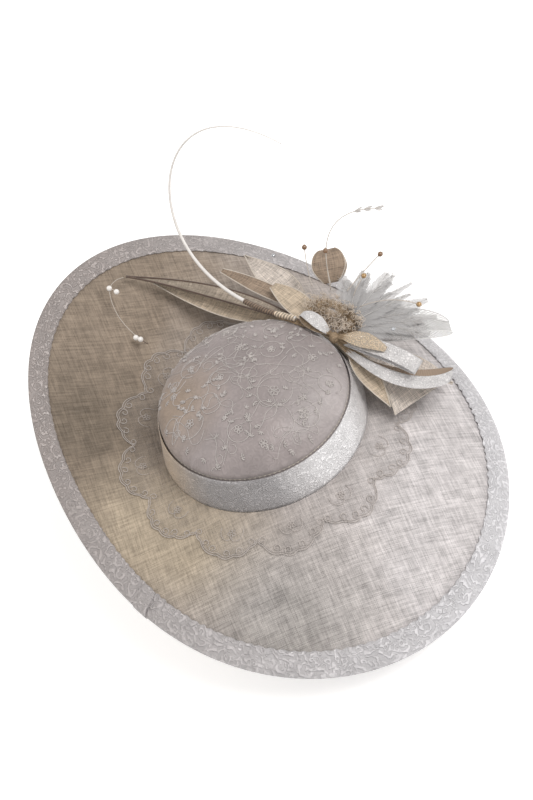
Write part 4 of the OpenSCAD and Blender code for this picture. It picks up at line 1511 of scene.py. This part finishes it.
class HEADPIECE_OT_heart(bpy.types.Operator):
    """Make the felt pad, the wrapped knot and the net rosette at the middle of the trim"""

    bl_idname = "headpiece.make_heart"
    bl_label = "Knot and rosette"

    def execute(self, context):
        work = Work()

        def pad(u, v):
            t, a = math.radians(4.5 + 47 * u), 2 * math.pi * v
            pinch = 1 - 0.9 * abs(2 * u - 1) ** 8
            z = 15 + 10.8 * math.sin(a) * (0.4 + 0.6 * pinch)
            inner = wall_r(z, -0.5)
            r = inner + 2.6 + 2.6 * math.copysign(abs(math.cos(a)) ** 0.6, math.cos(a)) * pinch
            return turned(t, r, z)

        work.patch(40, 24, pad, (0.08, 0.06), closed=True)
        piece = work.piece("trim_felt_pad", "hat", ["felt"], "felt", ["trim_pad"])

        work = Work()
        for k in range(3):
            lean = Matrix.Rotation(math.radians(60 * k + 15), 3, Vector((0.6, 0.3, 0.75)).normalized())

            def wrap(u, v, k=k, lean=lean):
                a, s = 2 * math.pi * u, 2 * v - 1
                r = KNOT_R - 0.2 * k - 1.2 * s * s + 0.3 * math.sin(9 * s + 3 * ripple(u * 3, k))
                return KNOT_AT + lean @ Vector((r * math.cos(a), 3.6 * s, r * math.sin(a)))

            work.patch(40, 14, wrap, (0.028, 0.008), closed=True)
        knot = work.piece(
            "trim_knot_wrap", "hat", ["knot"], "net", ["trim_knot"], wall=WRAP_T, offset=0.0
        )

        scatter = random.Random(3)
        work, curls = Work(), Work()
        turn = Matrix.Rotation(math.radians(ROSETTE_TURN), 3, UP)

        def on_rosette(share, t, h):
            """A point of the rosette: share of its size, angle, and height in millimetres."""
            flat = Vector((ROSETTE_L * share * math.cos(t), ROSETTE_W * share * math.sin(t), h))
            return ROSETTE_AT + turn @ flat

        for k in range(FRILLS):
            low, high, waves = 0.12 + 0.05 * k, 0.45 + 0.115 * k, 9 + 3 * k

            def frill(u, v, k=k, low=low, high=high, waves=waves):
                t = 2 * math.pi * u
                share = low + (high - low) * v * (1 + 0.12 * ripple(9 * u, k))
                h = 4.6 - 1.7 * k + 2.0 * v * math.sin(waves * t + 2 * k)
                h += 1.8 * v * ripple(12 * u, k, 2 * v)
                return on_rosette(share, t + 0.12 * math.sin(waves * t) * v, h)

            work.patch(200, 8, frill, (0.24, 0.016), closed=True, up=UP)
        rosette = work.piece("net_rosette_frill", "hat", ["net"], "net", ["net_rosette"])
        for _ in range(CURLS):
            t, share = scatter.uniform(0, 2 * math.pi), 1.12 * math.sqrt(scatter.random())
            at = on_rosette(share, t, scatter.uniform(-1, 6) * (1 - 0.5 * share))
            size, spin = scatter.uniform(1.4, 3.4), scatter.uniform(0, 6)
            lean = scatter.uniform(0, 1.3)
            tilt = Matrix.Rotation(lean, 3, turned(spin, 1, 0))
            turns = scatter.uniform(4, 9)
            curls.tube(
                [
                    at + tilt @ turned(spin + turns * j / 13, size * (0.4 + 0.6 * j / 13), 1.6 * j / 13)
                    for j in range(14)
                ],
                0.20, 4,
            )
        threads = curls.piece("net_rosette_curls", "hat", ["net_curl"], "net")
        return {"FINISHED"}


class HEADPIECE_OT_stems(bpy.types.Operator):
    """Make the quill, the arrow feather, the beads on wires, the pearls and the stones"""

    bl_idname = "headpiece.make_stems"
    bl_label = "Quill, beads and pearls"

    def execute(self, context):
        work = Work()
        work.tube([along(QUILL, k / 90) for k in range(91)], QUILL_R, 14, taper=lambda u: 1 - 0.8 * u)
        work.piece("quill_shaft", "quill_body", ["quill"], "quill", ["quill"])
        work = Work()
        for first, last, finish in ((0.0, 0.36, 0), (0.34, 1.0, 1)):
            steps = [BOUND_PART * (first + (last - first) * k / 60) for k in range(61)]
            points = [along(QUILL, u) for u in steps]
            work.tube(points, BOUND_R - 0.15, 16, finish, lambda u: 1 + 0.05 * math.sin(70 * u))
        bound = work.piece(
            "quill_wound_ribbon", "quill_body", ["bound_pale", "bound_dark"],
            slot_of("quill_binding"), ["quill_binding"],
        )

        work = Work()
        stem = [along(ARROW, k / 50) for k in range(51)]
        work.tube(stem, ARROW_R, 8, finish=1, taper=lambda u: 1 - 0.3 * u)
        for k in range(3):
            u = 0.79 + 0.085 * k
            ahead, side = heading(ARROW, u), across(ARROW, u)[0]
            for way in (-1, 1):
                for j in range(9):
                    start = along(ARROW, u + 0.0055 * j)
                    reach = (side * way + ahead * 0.9).normalized() * (4.6 - 0.25 * abs(j - 3))
                    barb = [start + reach * s + ahead * s * s for s in (0, 0.4, 0.75, 1.0)]
                    work.tube(barb, 0.26, 4, taper=lambda u: 1 - 0.7 * u)
        work.piece(
            "arrow_feather_barbs", "arrow_body", ["feather_shaft", "wire"], "feather", ["arrow_feather"]
        )

        for node, (path, body, slot) in BEAD_STEMS.items():
            work = Work()
            work.tube([along(path, k / 16) for k in range(17)], WIRE_R, 8, finish=1)
            work.ball(path[-1], BEAD_R, stretch=(1, 1, 0.92))
            end, ahead = Vector(path[-1]), heading(path, 1.0)
            for way in (-1, 1):
                work.tube([end + ahead * way * s for s in (1.9, 2.4, 2.7)], 0.55, 8, finish=1)
            work.piece(f"{node}_wired", body, [slot, "wire"], slot, [node])

        work = Work()
        for path in SPRAY:
            work.tube([along(path, k / 24) for k in range(25)], FILAMENT_R, 6, finish=1)
        for at in PEARLS:
            work.ball(at, PEARL_R, segments=28)
        last, side = Vector(PEARLS[2]), Vector((0.55, -0.45, -0.7))
        work.tube([last, last + side * 4.0, last + side * 8.0], 0.35, 6, finish=2)
        work.piece(
            "pearl_spray_wired", "pearls", ["pearl", "wire", "dark_edge"], "pearl",
            ["pearl_spray"],
        )

        work = Work()
        t = math.radians(STONE_TURN)
        for at in (on_brim(rim_r(t) - 9, t, 1.7), STONE_AT):
            for low, high, wide, narrow in ((0.0, 0.35, 1.9, 1.9), (0.35, 1.25, 1.9, 1.0)):
                bmesh.ops.create_cone(
                    work.mesh, cap_ends=True, segments=10, radius1=wide * MM, radius2=narrow * MM,
                    depth=(high - low) * MM, matrix=Matrix.Translation((at + UP * (low + high) / 2) * MM),
                )
            for k in range(8):
                turn = 2 * math.pi * k / 8
                work.ball(at + turned(turn, 2.0, 0.45), 0.32, finish=1, segments=6)
        work.piece("diamante_stones", "hat", ["stone", "spring_steel"], "stone", ["diamantes"])
        return {"FINISHED"}


# ---- Stage ----
class HEADPIECE_OT_stage(bpy.types.Operator):
    """Make the floor, the lights and the camera"""

    bl_idname = "headpiece.make_stage"
    bl_label = "Stage"

    def execute(self, context):
        scene, look = context.scene, context.scene.headpiece_stage
        floor_mesh = bpy.data.meshes.new("floor")
        bm = bmesh.new()
        under = Matrix.Translation((0, 0, cad_box[0][2] - 0.001))
        bmesh.ops.create_grid(bm, x_segments=8, y_segments=8, size=4.0, matrix=under)
        bm.to_mesh(floor_mesh)
        bm.free()
        floor = bpy.data.objects.new("floor", floor_mesh)
        scene.collection.objects.link(floor)
        paper = Finish("Floor paper")
        grain = paper.noise(paper.place(), 3.0, 2.0)
        tone = paper.mix(grain, dimmed(look.floor, 0.99), list(look.floor))
        floor_mesh.materials.append(
            paper.shaded(Base_Color=tone, Roughness=0.9, Emission_Color=(1, 1, 1), Emission_Strength=0.42)
        )
        scene.world = scene.world or bpy.data.worlds.new("Studio")
        scene.world.use_nodes = True
        sky = scene.world.node_tree.nodes["Background"]
        sky.inputs["Color"].default_value = (1.0, 0.99, 0.98, 1)
        sky.inputs["Strength"].default_value = 0.55
        scene.view_settings.view_transform = "Standard"
        for name, at, size, power, tint in (
            ("key light", (0.9, -0.5, 1.5), 1.0, look.key, (1.0, 0.985, 0.97)),
            ("fill light", (-1.2, 0.3, 1.2), 1.6, look.fill, (1.0, 0.96, 0.92)),
        ):
            data = bpy.data.lights.new(name, "AREA")
            data.size, data.energy, data.color = size, power, tint
            lamp = bpy.data.objects.new(name, data)
            facing = Vector(at).to_track_quat("Z", "Y").to_matrix().to_4x4()
            lamp.matrix_world = Matrix.Translation(at) @ facing
            scene.collection.objects.link(lamp)
        rise, roll = math.radians(CAMERA_RISE), math.radians(CAMERA_ROLL)
        back = Vector((0, -math.cos(rise), math.sin(rise)))
        right, up = Vector((1, 0, 0)), Vector((0, math.sin(rise), math.cos(rise)))
        across_view = right * math.cos(roll) + up * math.sin(roll)
        up_view = up * math.cos(roll) - right * math.sin(roll)
        lens = bpy.data.cameras.new("camera")
        lens.lens, lens.sensor_width = CAMERA_LENS, 36.0
        lens.shift_x, lens.shift_y = CAMERA_SHIFT
        camera = bpy.data.objects.new("camera", lens)
        facing = Matrix((across_view, up_view, back)).transposed().to_4x4()
        camera.matrix_world = Matrix.Translation(back * CAMERA_OFF) @ facing
        scene.collection.objects.link(camera)
        scene.camera = camera
        return {"FINISHED"}


class HEADPIECE_PT_panel(bpy.types.Panel):
    """Lists the steps that make the headpiece and their settings"""

    bl_idname = "HEADPIECE_PT_panel"
    bl_label = "Headpiece"
    bl_space_type = "VIEW_3D"
    bl_region_type = "UI"
    bl_category = "Headpiece"

    def draw(self, context):
        for name in SETTINGS:
            box = self.layout.box()
            group = getattr(context.scene, name)
            for key in group.__annotations__:
                box.prop(group, key)
        for maker in MAKERS:
            self.layout.operator(maker.bl_idname)


SETTINGS = {
    "headpiece_brim": BrimSettings,
    "headpiece_crown": CrownSettings,
    "headpiece_trim": TrimSettings,
    "headpiece_band": HeadbandSettings,
    "headpiece_stage": StageSettings,
}
MAKERS = (
    HEADPIECE_OT_stage,
    HEADPIECE_OT_brim,
    HEADPIECE_OT_binding,
    HEADPIECE_OT_crown,
    HEADPIECE_OT_embroidery,
    HEADPIECE_OT_collar,
    HEADPIECE_OT_headband,
    HEADPIECE_OT_heart,
    HEADPIECE_OT_gathers,
    HEADPIECE_OT_leaves,
    HEADPIECE_OT_loops,
    HEADPIECE_OT_feathers,
    HEADPIECE_OT_stems,
)


def register():
    for group in SETTINGS.values():
        bpy.utils.register_class(group)
    for name, group in SETTINGS.items():
        setattr(bpy.types.Scene, name, PointerProperty(type=group))
    for maker in (*MAKERS, HEADPIECE_PT_panel):
        bpy.utils.register_class(maker)


def unregister():
    for maker in (HEADPIECE_PT_panel, *reversed(MAKERS)):
        bpy.utils.unregister_class(maker)
    for name in SETTINGS:
        delattr(bpy.types.Scene, name)
    for group in SETTINGS.values():
        bpy.utils.unregister_class(group)


def check_sizes():
    """Stops the script if the sizes at its top are no longer the CAD model's."""
    low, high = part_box("brim_binding")
    rim = [on_brim(rim_r(t), t, MID_H) * MM for t in (math.radians(k) for k in range(360))]
    for axis in range(3):
        values = [point[axis] for point in rim]
        if abs(min(values) - low[axis]) > 0.004 or abs(max(values) - high[axis]) > 0.004:
            raise RuntimeError("the brim's sizes differ from the CAD model's")
    if abs(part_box("crown_band")[1].z - BAND_H * MM) > 0.001:
        raise RuntimeError("the crown's sizes differ from the CAD model's")


def main():
    register()
    check_sizes()
    for maker in MAKERS:
        category, action = maker.bl_idname.split(".")
        getattr(getattr(bpy.ops, category), action)()
    bpy.context.view_layer.update()


if __name__ == "__main__":
    main()
